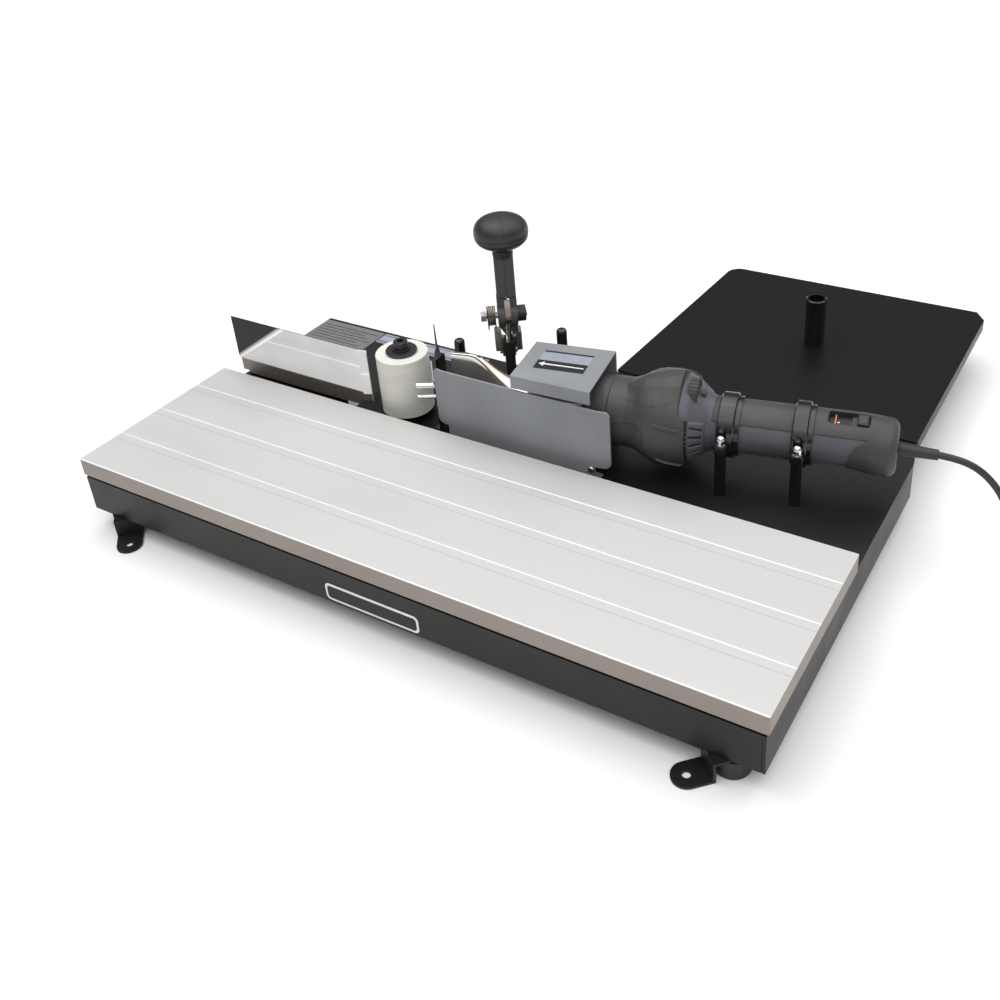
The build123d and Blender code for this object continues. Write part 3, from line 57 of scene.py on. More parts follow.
def joint(name):
    """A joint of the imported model, as (place, axis) in metres."""
    found = next(j for j in frame["joints"] if j["name"] == name)
    return Vector(found["pos_m"]), Vector(found["axis"]).normalized()


def local_frame(place, axis):
    """A frame at place with local x along a level axis and local z up, in millimetres."""
    across = Vector((0, 0, 1)).cross(axis)
    turn = Matrix((axis, across, Vector((0, 0, 1)))).transposed().to_4x4()
    return Matrix.Translation(place) @ turn @ Matrix.Scale(MM, 4)


BENCH = Matrix.Translation(ORIGIN) @ Matrix.Scale(MM, 4)
# The fan's place along the gun, the height of the lever's pivot, and the gun's roll.
FAN_S, PIVOT_Z, GUN_ROLL = -80.0, 134.5, math.radians(9)
fan_place, gun_axis = joint("fan_spin")
GUN = local_frame(fan_place - gun_axis * FAN_S * MM, gun_axis) @ Matrix.Rotation(GUN_ROLL, 4, "X")
pivot_place, tape_axis = joint("lever_swing")
CUT = local_frame(pivot_place - Vector((0, 0, PIVOT_Z)) * MM, tape_axis)


# ---- camera, floor and light ---------------------------------------------------------
def make_camera():
    """The camera, above the right front corner, with a slight roll and an off-centre frame."""
    eye = Vector((1140.0, -687.2, 800.9))
    azimuth, elevation, roll = math.radians(32.24), math.radians(29.89), math.radians(-3.6)
    level = Vector((math.cos(azimuth), math.sin(azimuth), 0))
    ahead = Vector((-math.sin(azimuth), math.cos(azimuth), 0)) * math.cos(elevation)
    ahead.z = -math.sin(elevation)
    above = level.cross(ahead)
    right = level * math.cos(roll) + above * math.sin(roll)
    up = right.cross(ahead)
    data = bpy.data.cameras.new("camera")
    data.sensor_width, data.lens = 36.0, 41.18
    data.shift_x, data.shift_y = -0.0586, -0.1346
    camera = bpy.data.objects.new("camera", data)
    turn = Matrix((right, up, -ahead)).transposed().to_4x4()
    camera.matrix_world = Matrix.Translation(BENCH @ eye) @ turn
    bpy.context.scene.collection.objects.link(camera)
    bpy.context.scene.camera = camera


def area_light(name, place, target, size, power):
    """A square soft light that points at a bench place."""
    data = bpy.data.lights.new(name, "AREA")
    data.shape, data.size, data.energy = "SQUARE", size, power
    light = bpy.data.objects.new(name, data)
    light.location = BENCH @ Vector(place)
    look = (BENCH @ Vector(target)) - light.location
    light.rotation_euler = look.to_track_quat("-Z", "Y").to_euler()
    bpy.context.scene.collection.objects.link(light)


def make_sky():
    """A world that is dim round the horizon and bright overhead."""
    world = bpy.data.worlds.new("studio")
    world.use_nodes = True
    tree = world.node_tree
    background = tree.nodes["Background"]
    where = tree.nodes.new("ShaderNodeTexCoord")
    split = tree.nodes.new("ShaderNodeSeparateXYZ")
    sky = tree.nodes.new("ShaderNodeMapRange")
    sky.interpolation_type = "SMOOTHSTEP"
    heights, strengths = (0.42, 0.95), (0.14, 1.95)
    for side, height, strength in zip(("Min", "Max"), heights, strengths):
        sky.inputs["From " + side].default_value = height
        sky.inputs["To " + side].default_value = strength
    tree.links.new(where.outputs["Generated"], split.inputs["Vector"])
    tree.links.new(split.outputs["Z"], sky.inputs["Value"])
    tree.links.new(sky.outputs["Result"], background.inputs["Strength"])
    background.inputs["Color"].default_value = (1, 1, 1, 1)
    bpy.context.scene.world = world


def make_studio():
    """A pale floor under the sky and soft lights."""
    make_sky()
    bpy.context.scene.view_settings.view_transform = "Standard"
    side, grey, rough, shine = 30, 0.95, 0.8, 0.2
    bpy.ops.mesh.primitive_plane_add(size=side, location=(0, 0, ORIGIN.z + FLOOR * MM))
    floor = bpy.context.object
    floor.name = "studio_floor"
    paint = bpy.data.materials.new("studio_floor")
    paint.use_nodes = True
    shader = paint.node_tree.nodes["Principled BSDF"]
    shader.inputs["Base Color"].default_value = (grey, grey, grey, 1)
    shader.inputs["Roughness"].default_value = rough
    shader.inputs["Specular IOR Level"].default_value = shine
    floor.data.materials.append(paint)
    area_light("key", (-500, 300, 2200), (450, 300, 0), 1.6, 9)
    area_light("front", (1500, -1500, 1400), (500, 200, 0), 1.8, 6)
    area_light("rim", (1700, 1500, 1300), (700, 350, 50), 1.2, 4)


# ---- materials -----------------------------------------------------------------------
class Paint:
    """A procedural material, built up one node at a time."""

    def __init__(self, name, colour, rough, metallic=0.0):
        self.material = bpy.data.materials.new(name)
        self.material.use_nodes = True
        self.tree = self.material.node_tree
        self.shader = self.tree.nodes["Principled BSDF"]
        self.colour, self.rough = colour, rough
        self.shader.inputs["Base Color"].default_value = (*colour, 1)
        self.shader.inputs["Roughness"].default_value = rough
        self.shader.inputs["Metallic"].default_value = metallic
        self.place = self.node("ShaderNodeTexCoord").outputs["Object"]

    def node(self, kind, **settings):
        """A new node with the given settings."""
        made = self.tree.nodes.new(kind)
        for key, value in settings.items():
            setattr(made, key, value)
        return made

    def link(self, source, target):
        """Joins an output to an input."""
        self.tree.links.new(source, target)

    def stretched(self, stretch):
        """Object coordinates, scaled by stretch along each axis."""
        mapping = self.node("ShaderNodeMapping")
        mapping.inputs["Scale"].default_value = stretch
        self.link(self.place, mapping.inputs["Vector"])
        return mapping.outputs["Vector"]

    def noise(self, stretch, detail=3.0):
        """A noise value from 0 to 1, with stretch features per metre on each axis."""
        texture = self.node("ShaderNodeTexNoise")
        texture.inputs["Scale"].default_value = 1.0
        texture.inputs["Detail"].default_value = detail
        self.link(self.stretched(stretch), texture.inputs["Vector"])
        return texture.outputs["Fac"]

    def ramp(self, value, low, high, start=0.3, end=0.7):
        """A value turned into a range from low to high."""
        span = self.node("ShaderNodeMapRange")
        span.inputs["From Min"].default_value = start
        span.inputs["From Max"].default_value = end
        span.inputs["To Min"].default_value = low
        span.inputs["To Max"].default_value = high
        self.link(value, span.inputs["Value"])
        return span.outputs["Result"]

    def vary_rough(self, value, spread):
        """Roughness that wanders about its middle value."""
        result = self.ramp(value, self.rough - spread, self.rough + spread)
        self.link(result, self.shader.inputs["Roughness"])

    def vary_colour(self, value, other, start=0.35, end=0.65):
        """A mix between the base colour, or the last mix, and another."""
        mix = self.node("ShaderNodeMix", data_type="RGBA")
        previous = self.shader.inputs["Base Color"].links
        if previous:
            self.link(previous[0].from_socket, mix.inputs["A"])
        else:
            mix.inputs["A"].default_value = (*self.colour, 1)
        mix.inputs["B"].default_value = (*other, 1)
        self.link(self.ramp(value, 0.0, 1.0, start, end), mix.inputs["Factor"])
        self.link(mix.outputs["Result"], self.shader.inputs["Base Color"])

    def bump(self, value, height):
        """Relief, with its height in millimetres."""
        relief = self.node("ShaderNodeBump")
        relief.inputs["Strength"].default_value = 1.0
        relief.inputs["Distance"].default_value = height * MM
        self.link(value, relief.inputs["Height"])
        self.link(relief.outputs["Normal"], self.shader.inputs["Normal"])

    def set(self, socket, value):
        """Sets an input of the shader and gives the paint back."""
        self.shader.inputs[socket].default_value = value
        return self


def even(scale):
    """The same scale on all three axes."""
    return (scale, scale, scale)


def powder_coat(name, colour, rough, grain=0.02, size=900):
    """Powder coat: fine orange peel, slight wandering of gloss and tone."""
    paint = Paint(name, colour, rough).set("Specular IOR Level", 0.3)
    paint.vary_rough(paint.noise(even(14)), 0.05)
    paint.vary_colour(paint.noise(even(9), 5), tuple(1.25 * c for c in colour))
    paint.bump(paint.noise(even(size), 2), grain)
    return paint.material


def brushed_metal(name, colour, rough, along):
    """Metal with fine scratches that run along one axis."""
    fine, long, grain, streak = 2200.0, 9.0, 0.004, 0.85
    paint = Paint(name, colour, rough, metallic=1.0)
    stretch = [fine, fine, fine]
    stretch[along] = long
    lines = paint.noise(tuple(stretch), 4)
    paint.vary_rough(lines, 0.09)
    paint.vary_colour(lines, tuple(streak * c for c in colour))
    paint.bump(lines, grain)
    return paint.material


def ruled_line(paint, across, first, pitch, half):
    """1 on lines a pitch apart and half a width each side, and 0 between them."""
    # Whole pitches are added before the wrap, so that what it wraps is never negative.
    spare = 10
    shift = paint.node("ShaderNodeMath", operation="SUBTRACT")
    shift.inputs[1].default_value = first - half - spare * pitch
    paint.link(across, shift.inputs[0])
    wrap = paint.node("ShaderNodeMath", operation="MODULO")
    wrap.inputs[1].default_value = pitch
    paint.link(shift.outputs[0], wrap.inputs[0])
    line = paint.node("ShaderNodeMath", operation="LESS_THAN")
    line.inputs[1].default_value = 2 * half
    paint.link(wrap.outputs[0], line.inputs[0])
    return line.outputs[0]


def table_metal():
    """The table: long brushing, soft cloudy wear, dark joint lines, painted highlights along its grooves and a
    painted brown reflection on its upright faces.
    """
    colour, worn, painted_reflection_brown = (0.62, 0.615, 0.61), (0.61, 0.605, 0.60), (0.29, 0.25, 0.22)
    dark, bright, pitch = (0.42, 0.41, 0.40), (0.90, 0.90, 0.89), 0.0655
    paint = Paint("table_aluminium", colour, 0.46, metallic=0.35)
    lines = paint.noise((7.0, 1500.0, 1500.0), 4)
    clouds = paint.noise((5.0, 16.0, 16.0), 5)
    paint.vary_rough(clouds, 0.08)
    paint.vary_colour(clouds, worn, 0.45, 0.75)
    split = paint.node("ShaderNodeSeparateXYZ")
    paint.link(paint.place, split.inputs["Vector"])
    # The faint dark lines are joint lines; the bright lines over the grooves are painted highlights.
    for first, half, tone, strength in ((0.054, 0.0006, dark, 0.6), (0.066, 0.0009, bright, 1.0)):
        line = ruled_line(paint, split.outputs["Y"], ORIGIN.y + first, pitch, half)
        paint.vary_colour(line, tone, 0.0, 1.0 / strength)
    # Upright faces are tinted brown: a painted reflection of the surroundings, stronger the more upright the face.
    facing = paint.node("ShaderNodeSeparateXYZ")
    normal = paint.node("ShaderNodeNewGeometry").outputs["True Normal"]
    paint.link(normal, facing.inputs["Vector"])
    upright = paint.node("ShaderNodeMath", operation="SUBTRACT")
    upright.inputs[0].default_value = 1.0
    paint.link(facing.outputs["Z"], upright.inputs[1])
    paint.vary_colour(upright.outputs[0], painted_reflection_brown, 0.4, 0.9)
    paint.bump(lines, 0.002)
    return paint.material


def mirror():
    """The outfeed guide: polished steel, painted near-black over its upper left corner as a painted dark
    reflection.
    """
    paint = Paint("polished_steel", (0.96, 0.96, 0.96), 0.06, metallic=1.0)
    paint.vary_rough(paint.noise(even(60), 4), 0.02)
    paint.vary_colour(paint.noise(even(25), 3), (0.90, 0.90, 0.91))
    split = paint.node("ShaderNodeSeparateXYZ")
    paint.link(paint.place, split.inputs["Vector"])
    # The near-black colour over the upper left corner is a painted reflection of dark surroundings, not a mark on
    # the steel.
    slope, soft, painted_dark_reflection = 0.70, 9.0 * MM, (0.03, 0.03, 0.032)
    table_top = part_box("work_table")[1].z
    lean = paint.node("ShaderNodeMath", operation="MULTIPLY_ADD")
    lean.inputs[1].default_value = -slope
    paint.link(split.outputs["X"], lean.inputs[0])
    paint.link(split.outputs["Z"], lean.inputs[2])
    start = table_top - slope * ORIGIN.x
    paint.vary_colour(lean.outputs[0], painted_dark_reflection, start, start + soft)
    return paint.material


def bright_metal(name, colour, rough):
    """Plated or polished metal with faint smears."""
    smear = 0.03
    paint = Paint(name, colour, rough, metallic=1.0)
    paint.vary_rough(paint.noise(even(60), 4), smear)
    paint.vary_colour(paint.noise(even(25), 3), tuple(0.88 * c for c in colour))
    return paint.material


def moulded(name, colour, rough, grain=0.012, size=2600):
    """Moulded plastic or rubber: a fine spark-eroded texture and slight tone."""
    paint = Paint(name, colour, rough)
    paint.vary_rough(paint.noise(even(30), 4), 0.06)
    paint.vary_colour(paint.noise(even(18), 4), tuple(1.3 * c + 0.002 for c in colour))
    paint.bump(paint.noise(even(size), 2), grain)
    return paint.material


def gloss_black():
    """Gloss black enamel with a clear top and slight orange peel."""
    paint = Paint("black_gloss", (0.006, 0.006, 0.007), 0.20)
    paint.vary_rough(paint.noise(even(40)), 0.06)
    paint.vary_colour(paint.noise(even(15)), (0.011, 0.011, 0.012))
    paint.bump(paint.noise(even(350), 2), 0.008)
    paint.set("Coat Weight", 0.5).set("Coat Roughness", 0.08)
    return paint.material


def plate_texture():
    """The rear plate and the roller's plate: black wrinkle powder with pale specks."""
    paint = Paint("plate_texture", (0.0045, 0.0047, 0.0048), 0.38)
    paint.set("Specular IOR Level", 0.20)
    paint.vary_rough(paint.noise(even(7)), 0.05)
    paint.vary_colour(paint.noise(even(1300), 2), (0.014, 0.014, 0.015), 0.6, 0.8)
    paint.bump(paint.noise(even(700), 3), 0.02)
    return paint.material


def ivory():
    """The roller's tyre: ivory, faintly grey where tape has rubbed it."""
    paint = Paint("roller_ivory", (0.80, 0.79, 0.72), 0.45)
    paint.vary_rough(paint.noise((20, 20, 160), 4), 0.08)
    paint.vary_colour(paint.noise((18, 18, 120), 5), (0.70, 0.69, 0.62), 0.45, 0.8)
    paint.bump(paint.noise((200, 200, 900), 3), 0.01)
    paint.set("Subsurface Weight", 0.08)
    paint.shader.inputs["Subsurface Radius"].default_value = (0.004, 0.003, 0.002)
    return paint.material


def heat_tinted():
    """The nozzle: polished steel that heat has turned straw and grey in bands."""
    paint = Paint("duct_steel", (0.80, 0.78, 0.74), 0.16, metallic=1.0)
    paint.vary_rough(paint.noise(even(35), 4), 0.05)
    paint.vary_colour(paint.noise(even(22), 3), (0.66, 0.56, 0.38), 0.48, 0.72)
    paint.bump(paint.noise(even(90), 2), 0.03)
    return paint.material


def flat_print(name, colour, rough=0.4):
    """Printed film, with a very fine tooth."""
    paint = Paint(name, colour, rough)
    paint.vary_colour(paint.noise(even(120), 3), tuple(0.9 * c for c in colour))
    paint.bump(paint.noise(even(1500)), 0.004)
    return paint.material


MATERIALS = {
    "frame_coat": powder_coat("frame_coat", (0.011, 0.0105, 0.0098), 0.42),
    "plate_coat": plate_texture(),
    "zinc_steel": brushed_metal("zinc_steel", (0.62, 0.62, 0.60), 0.34, 2),
    "table_aluminium": table_metal(),
    "rubber_black": moulded("rubber_black", (0.018, 0.018, 0.019), 0.62),
    "polished_steel": mirror(),
    "grey_paint": powder_coat("grey_paint", (0.25, 0.26, 0.275), 0.42, 0.008, 1500),
    "bright_plating": bright_metal("bright_plating", (0.82, 0.82, 0.84), 0.12),
    "brass_screw": bright_metal("brass_screw", (0.75, 0.60, 0.36), 0.25),
    "duct_steel": heat_tinted(),
    "machined_steel": brushed_metal("machined_steel", (0.46, 0.455, 0.44), 0.33, 2),
    "roller_ivory": ivory(),
    "black_oxide": moulded("black_oxide", (0.015, 0.015, 0.016), 0.34, 0.006, 900),
    "black_gloss": gloss_black(),
    "blade_steel": brushed_metal("blade_steel", (0.55, 0.49, 0.38), 0.30, 2),
    "lever_paint": powder_coat("lever_paint", (0.066, 0.067, 0.068), 0.38),
    "knob_black": moulded("knob_black", (0.020, 0.020, 0.022), 0.42, 0.01, 1800),
    "spring_steel": brushed_metal("spring_steel", (0.26, 0.22, 0.17), 0.30, 0),
    "ceramic": flat_print("ceramic", (0.82, 0.80, 0.74), 0.8),
    "gun_charcoal": moulded("gun_charcoal", (0.046, 0.044, 0.043), 0.50),
    "gun_grey": moulded("gun_grey", (0.088, 0.088, 0.104), 0.46),
    "cord_rubber": moulded("cord_rubber", (0.022, 0.022, 0.024), 0.50),
}
BLACK_PRINT = flat_print("black_print", (0.012, 0.012, 0.014))
PALE_PRINT = flat_print("pale_print", (0.34, 0.37, 0.44))
SILVER_PRINT = flat_print("silver_print", (0.19, 0.19, 0.19), 0.35)
WHITE_PRINT = flat_print("white_print", (0.85, 0.85, 0.86))
ORANGE_PRINT = flat_print("orange_print", (0.80, 0.16, 0.05))


# ---- mesh helpers --------------------------------------------------------------------
def piece(name, verts, faces, material, where=BENCH, stands_for=(), body="root", smooth=35.0):
    """A mesh from vertices in millimetres in one of the local frames."""
    mesh = bpy.data.meshes.new(name)
    mesh.from_pydata([where @ Vector(v) for v in verts], [], faces)
    mesh.validate()
    made = bpy.data.objects.new(name, mesh)
    bpy.context.scene.collection.objects.link(made)
    tidy = bmesh.new()
    tidy.from_mesh(mesh)
    bmesh.ops.recalc_face_normals(tidy, faces=tidy.faces)
    tidy.to_mesh(mesh)
    tidy.free()
    mesh.materials.append(material)
    mesh.shade_smooth()
    mesh.set_sharp_from_angle(angle=math.radians(smooth))
    if stands_for:
        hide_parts(*stands_for)
    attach(made, body)
    return made


def slab(name, outline, z0, z1, material, where=BENCH, edge=0.0, body="root"):
    """An outline in the local XY plane with thickness, and rounded edges if edge is given."""
    count = len(outline)
    verts = [(x, y, z) for z in (z0, z1) for x, y in outline]
    sides = [(i, (i + 1) % count, count + (i + 1) % count, count + i) for i in range(count)]
    faces = [tuple(range(count)), tuple(range(count, 2 * count))] + sides
    made = piece(name, verts, faces, material, where, body=body)
    if edge:
        soften(made, edge)
    return made


def soften(made, width, angle=40.0):
    """Rounds the sharp edges of a piece or a CAD node as it is shown."""
    bevel = made.modifiers.new("edges", "BEVEL")
    bevel.width, bevel.segments = width * MM, 2
    bevel.limit_method, bevel.angle_limit = "ANGLE", math.radians(angle)


def rounded_rectangle(x0, x1, y0, y1, radius):
    """The outline of a rectangle with round corners."""
    points, steps = [], 5
    corners = [(x1 - radius, y0 + radius, -90), (x1 - radius, y1 - radius, 0),
               (x0 + radius, y1 - radius, 90), (x0 + radius, y0 + radius, 180)]
    for cx, cy, start in corners:
        for i in range(steps + 1):
            a = math.radians(start + 90 * i / steps)
            points.append((cx + radius * math.cos(a), cy + radius * math.sin(a)))
    return points


def turned(name, profile, material, where, count=96, stands_for=(), body="root", smooth=35.0):
    """A profile of (along, radius) turned about local x; a radius of 0 closes an end."""
    verts, rows = [], []
    for along, radius in profile:
        if radius == 0:
            rows.append([len(verts)] * count)
            verts.append((along, 0, 0))
            continue
        rows.append(range(len(verts), len(verts) + count))
        for i in range(count):
            a = 2 * math.pi * i / count
            verts.append((along, radius * math.sin(a), radius * math.cos(a)))
    faces = quads(rows, closed=True)
    return piece(name, verts, faces, material, where, stands_for, body, smooth)


def quads(rows, closed):
    """Faces between rows of vertex numbers; doubled numbers make triangles."""
    faces = []
    for low, high in zip(rows, rows[1:]):
        count = len(low)
        for i in range(count if closed else count - 1):
            j = (i + 1) % count
            corners = [low[i], low[j], high[j], high[i]]
            face = [c for k, c in enumerate(corners) if c not in corners[:k]]
            if len(face) > 2:
                faces.append(tuple(face))
    return faces


def line_at(value, points):
    """Straight lines through (x, y) points, level before the first and after the last."""
    if value <= points[0][0]:
        return points[0][1]
    for (x0, y0), (x1, y1) in zip(points, points[1:]):
        if value <= x1:
            return y0 + (y1 - y0) * ((value - x0) / (x1 - x0))
    return points[-1][1]


def step(value, start, end):
    """0 before start, 1 after end, and smooth between them."""
    t = min(max((value - start) / (end - start), 0.0), 1.0)
    return t * t * (3 - 2 * t)


def wide_max(a, b, blend):
    """The larger of two values, rounded where they cross."""
    near = max(blend - abs(a - b), 0.0) / blend
    return max(a, b) + near * near * blend / 4


def cut_with(made, cutters):
    """Takes the cutters' shapes out of a piece and throws the cutters away."""
    for cutter in cutters:
        cut = made.modifiers.new("cut", "BOOLEAN")
        cut.operation, cut.solver, cut.object = "DIFFERENCE", "EXACT", cutter
    bpy.context.view_layer.update()
    graph = bpy.context.evaluated_depsgraph_get()
    result = bpy.data.meshes.new_from_object(made.evaluated_get(graph))
    made.modifiers.clear()
    made.data = result
    for cutter in cutters:
        bpy.data.objects.remove(cutter)


def tube_along(name, points, radius, material, where, body="root", stands_for=()):
    """A round wire along a NURBS line that the points steer."""
    data = bpy.data.curves.new(name, "CURVE")
    data.dimensions, data.bevel_depth, data.bevel_resolution = "3D", radius * MM, 6
    data.resolution_u, data.use_fill_caps = 8, True
    line = data.splines.new("NURBS")
    line.points.add(len(points) - 1)
    for target, point in zip(line.points, points):
        target.co = (*(where @ Vector(point)), 1)
    line.order_u, line.use_endpoint_u = 3, True
    made = bpy.data.objects.new(name, data)
    bpy.context.scene.collection.objects.link(made)
    data.materials.append(material)
    if stands_for:
        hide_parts(*stands_for)
    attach(made, body)
    return made


# ---- mains cord ----------------------------------------------------------------------
CORD_R = 4.0
COIL_X, COIL_Y, COIL_RADII, COIL_RISE = 1085.0, 477.0, (36.0, 44.0, 52.0), 8.0
CORD_ROUTE = [
    (938.4, 404.0, 64.4),
    (959.9, 408.7, 62.4),
    (983.5, 413.3, 52.0),
    (1004.0, 417.3, 30.0),
    (1017.8, 420.1, 2.0),
    (1035.4, 422.8, -22.0),
    (1060.0, 424.6, -39.0),
]


def coil_points():
    """Down the inner column of turns, up the middle one and down the outer one."""
    lead_in, column, per_turn, start = 0.5, 2.25, 16, math.radians(-90)
    outwards, again = (0.94, 1.06), (1.94, 2.06)
    inner, middle, outer = COIL_RADII
    low = FLOOR + CORD_R
    high = low + column * COIL_RISE
    total = lead_in + 3 * column
    points = []
    for i in range(int(total * per_turn) + 1):
        turns = i / per_turn
        angle = start + 2 * math.pi * turns
        if turns < lead_in:
            share = step(turns, 0, lead_in)
            radius = outer + (inner - outer) * share
            z = high + COIL_RISE * (1 - share)
        else:
            along = (turns - lead_in) / column
            up = along % 2
            share = up if up <= 1 else 2 - up
            z = high - (high - low) * share
            radius = inner + (middle - inner) * step(along, *outwards)
            radius += (outer - middle) * step(along, *again)
        x, y = COIL_X + radius * math.cos(angle), COIL_Y + radius * math.sin(angle)
        points.append((x, y, z))
    return points


def make_cord():
    """The cord from the sleeve to the coil, its turns, and the short end to the plug."""
    x, z = COIL_X + COIL_RADII[2], FLOOR + CORD_R
    tail = [(x, COIL_Y + along, z) for along in (14.0, 29.0, 45.0)]
    cord = tube_along("power_cord_lead", CORD_ROUTE + coil_points() + tail, CORD_R,
                      MATERIALS["cord_rubber"], BENCH, stands_for=("power_cord", "cord_coil"))


# ---- hot-air gun ---------------------------------------------------------------------
# Outlines of the front shell, as (place along the gun, distance from its axis): the top of
# the hood, its half width, its lower crease, and the round body under it.
SEAM, SHELL_REAR = -187.0, -92.0
HOOD_FRONT, HOOD_REAR = -172.0, -101.5
HOOD_TOP = [(-172.0, 41.0), (-168.6, 43.5), (-145.0, 55.0), (-120.0, 61.5), (-102.0, 64.0)]
HOOD_WIDE = [(-172.0, 4.0), (-150.0, 10.0), (-120.0, 15.0), (-102.0, 14.0)]
HOOD_CREASE = [(-172.0, 37.0), (-162.5, 37.0), (-144.5, 42.0), (-121.0, 47.0), (-99.0, 51.0)]
BODY = [(SEAM, 42.0), (-165.0, 42.3), (-155.0, 45.5), (-146.0, 51.0), (-138.0, 55.0),
        (-128.0, 57.5), (-112.0, 58.5), (-101.0, 57.8), (-95.0, 57.0), (SHELL_REAR, 55.6)]


def ray_to_line(angle, start, end):
    """Distance from the axis, at an angle from the top, to a line between two points."""
    dx, dy = math.sin(angle), math.cos(angle)
    ex, ey = end[0] - start[0], end[1] - start[1]
    cross = dx * ey - dy * ex
    if abs(cross) < 1e-9:
        return 0.0
    along = (start[0] * ey - start[1] * ex) / cross
    share = (start[0] * dy - start[1] * dx) / cross
    return along if -0.001 <= share <= 1.001 else 0.0


def off_top(angle):
    """The same angle as a turn from the top, either way."""
    return abs((angle + math.pi) % (2 * math.pi) - math.pi)


def housing_radius(s, angle):
    """The front housing's surface: a swelling barrel under a faceted hood."""
    base = line_at(s, BODY)
    if s < HOOD_FRONT or s > HOOD_REAR:
        return base
    drop, proud, blend, run = 1.5, 0.8, 0.9, 8
    angle = off_top(angle)
    top, wide, crease = line_at(s, HOOD_TOP), line_at(s, HOOD_WIDE), line_at(s, HOOD_CREASE)
    corner = (wide, top - drop)
    low = (math.sqrt(max(base * base - crease * crease, 1.0)) + proud, crease)
    reach = max(ray_to_line(angle, (0.0, top), corner), ray_to_line(angle, corner, low))
    fade = step(s, HOOD_FRONT, HOOD_FRONT + run)
    return base + (wide_max(base, reach, blend) - base) * fade


# The line, down the side of the shell, below which its surface steps in.
STEP_LINE = [(SEAM, 13.4), (-181.0, 13.2), (-151.0, 19.8), (-141.0, 16.0), (-139.0, -12.0),
             (-133.0, -25.5), (-130.0, -32.0)]
STEP_END = -130.0


def drawn_in(s, angle):
    """The shell's rear edge stops short over the top, where the dial shows."""
    most, start = 8.4, HOOD_REAR - 0.1
    short = most * (1 - step(math.degrees(off_top(angle)), 40, 58))
    if s <= start:
        return s
    return start + (s - start) * (SHELL_REAR - short - start) / (SHELL_REAR - start)


def make_housing():
    """The big front shell, as a fine grid over its whole surface."""
    count, spacing, depth, half, front_bore, rear_bore = 180, 1.5, 1.3, 0.6, 38.9, 50.0
    stations = [SEAM + spacing * i for i in range(int((HOOD_REAR - SEAM) / spacing) + 1)]
    stations += [HOOD_REAR - 0.05, HOOD_REAR + 0.05, -99.0, -96.5, -95.0, -93.2, SHELL_REAR]
    verts, rows = [], []
    for s in sorted(stations):
        rows.append(range(len(verts), len(verts) + count))
        for i in range(count):
            angle = 2 * math.pi * i / count
            radius = housing_radius(s, angle)
            height = radius * math.cos(angle)
            if s < STEP_END:
                radius -= depth * step(line_at(s, STEP_LINE) - height, -half, half)
            along = drawn_in(s, angle)
            verts.append((along, radius * math.sin(angle), radius * math.cos(angle)))
    faces = quads(rows, closed=True)
    rows_in = []
    for s, radius in ((SEAM, front_bore), (SHELL_REAR, rear_bore)):
        rows_in.append(range(len(verts), len(verts) + count))
        for i in range(count):
            angle = 2 * math.pi * i / count
            verts.append((drawn_in(s, angle), radius * math.sin(angle), radius * math.cos(angle)))
    for pair in ([rows[0], rows_in[0]], [rows[-1], rows_in[1]], rows_in):
        faces += quads(pair, closed=True)
    shell = piece("gun_housing_shell", verts, faces, MATERIALS["gun_charcoal"], GUN,
                  stands_for=("gun_front_housing",), smooth=32)
    for side, label in ((-1, "right"), (1, "left")):
        make_fin(f"gun_fin_{label}_mid", side, (-128.0, -97.0), (60.0, 63.0))
        make_fin(f"gun_fin_{label}_low", side, (-126.0, -94.0), (108.0, 117.0))


def make_fin(name, side, ends, turns):
    """A slim raised bar on the side of the housing, between two places and angles."""
    verts, rows = [], []
    half, proud, sunk, steps = 2.1, 2.4, -0.6, 14
    for i in range(steps + 1):
        share = i / steps
        s = ends[0] + (ends[1] - ends[0]) * share
        middle = math.radians(turns[0] + (turns[1] - turns[0]) * share)
        base = line_at(s, BODY)
        lift = proud * step(i, -0.2, 1.5) * step(steps - i, -0.2, 1.5)
        section = [(-half, sunk), (-half * 0.6, lift), (0, lift * 1.1), (half * 0.6, lift),
                   (half, sunk)]
        rows.append(range(len(verts), len(verts) + len(section)))
        for offset, out in section:
            angle = middle + offset / base
            radius = base + out
            verts.append((s, side * radius * math.sin(angle), radius * math.cos(angle)))
    piece(name, verts, quads(rows, closed=False), MATERIALS["gun_charcoal"], GUN)


def make_nose():
    """The nose cap, with a rounded front edge and a small screw head."""
    profile = [(-214.9, 17.7), (-218.0, 17.7), (-218.0, 38.5), (-217.2, 40.6), (-215.4, 41.8),
               (-213.0, 42.0), (-188.2, 42.0), (-187.5, 41.3), (-187.5, 39.0), (-214.9, 39.0),
               (-214.9, 17.7)]
    cap = turned("gun_nose_shell", profile, MATERIALS["gun_charcoal"], GUN,
                 stands_for=("gun_nose_cap",))
    head = [(0.0, 0.0), (0.0, 2.6), (0.7, 2.5), (1.1, 1.8), (1.15, 0.9), (0.5, 0.8), (0.5, 0.0)]
    turn, spot = math.radians(-12), (-206, 0, 41.8)
    place = GUN @ Matrix.Rotation(turn, 4, "X") @ Matrix.Translation(spot)
    turned("gun_nose_screw", head, MATERIALS["black_oxide"],
           place @ Matrix.Rotation(math.radians(-90), 4, "Y"), count=24)


# The flare behind the shell, as (place along the gun, radius).
CONE = [(-100.5, 55.0), (-92.0, 51.6), (-90.0, 49.8), (-86.0, 46.2), (-82.0, 42.6), (-78.0, 39.4),
        (-74.0, 36.4), (-70.0, 33.8), (-66.0, 32.0), (-61.0, 31.3)]


def make_cone():
    """The grey flare behind the housing, with a raised slotted panel on each side."""
    profile = [(-100.5, 50.0)] + CONE + [(-61.0, 29.0), (-100.5, 50.0)]
    cone = turned("gun_cone_shell", profile, MATERIALS["gun_grey"], GUN,
                  stands_for=("gun_vent_cone",), smooth=50)
    for side, label in ((-1, "right"), (1, "left")):
        make_vent_panel(side, label)
    make_vent_teeth()


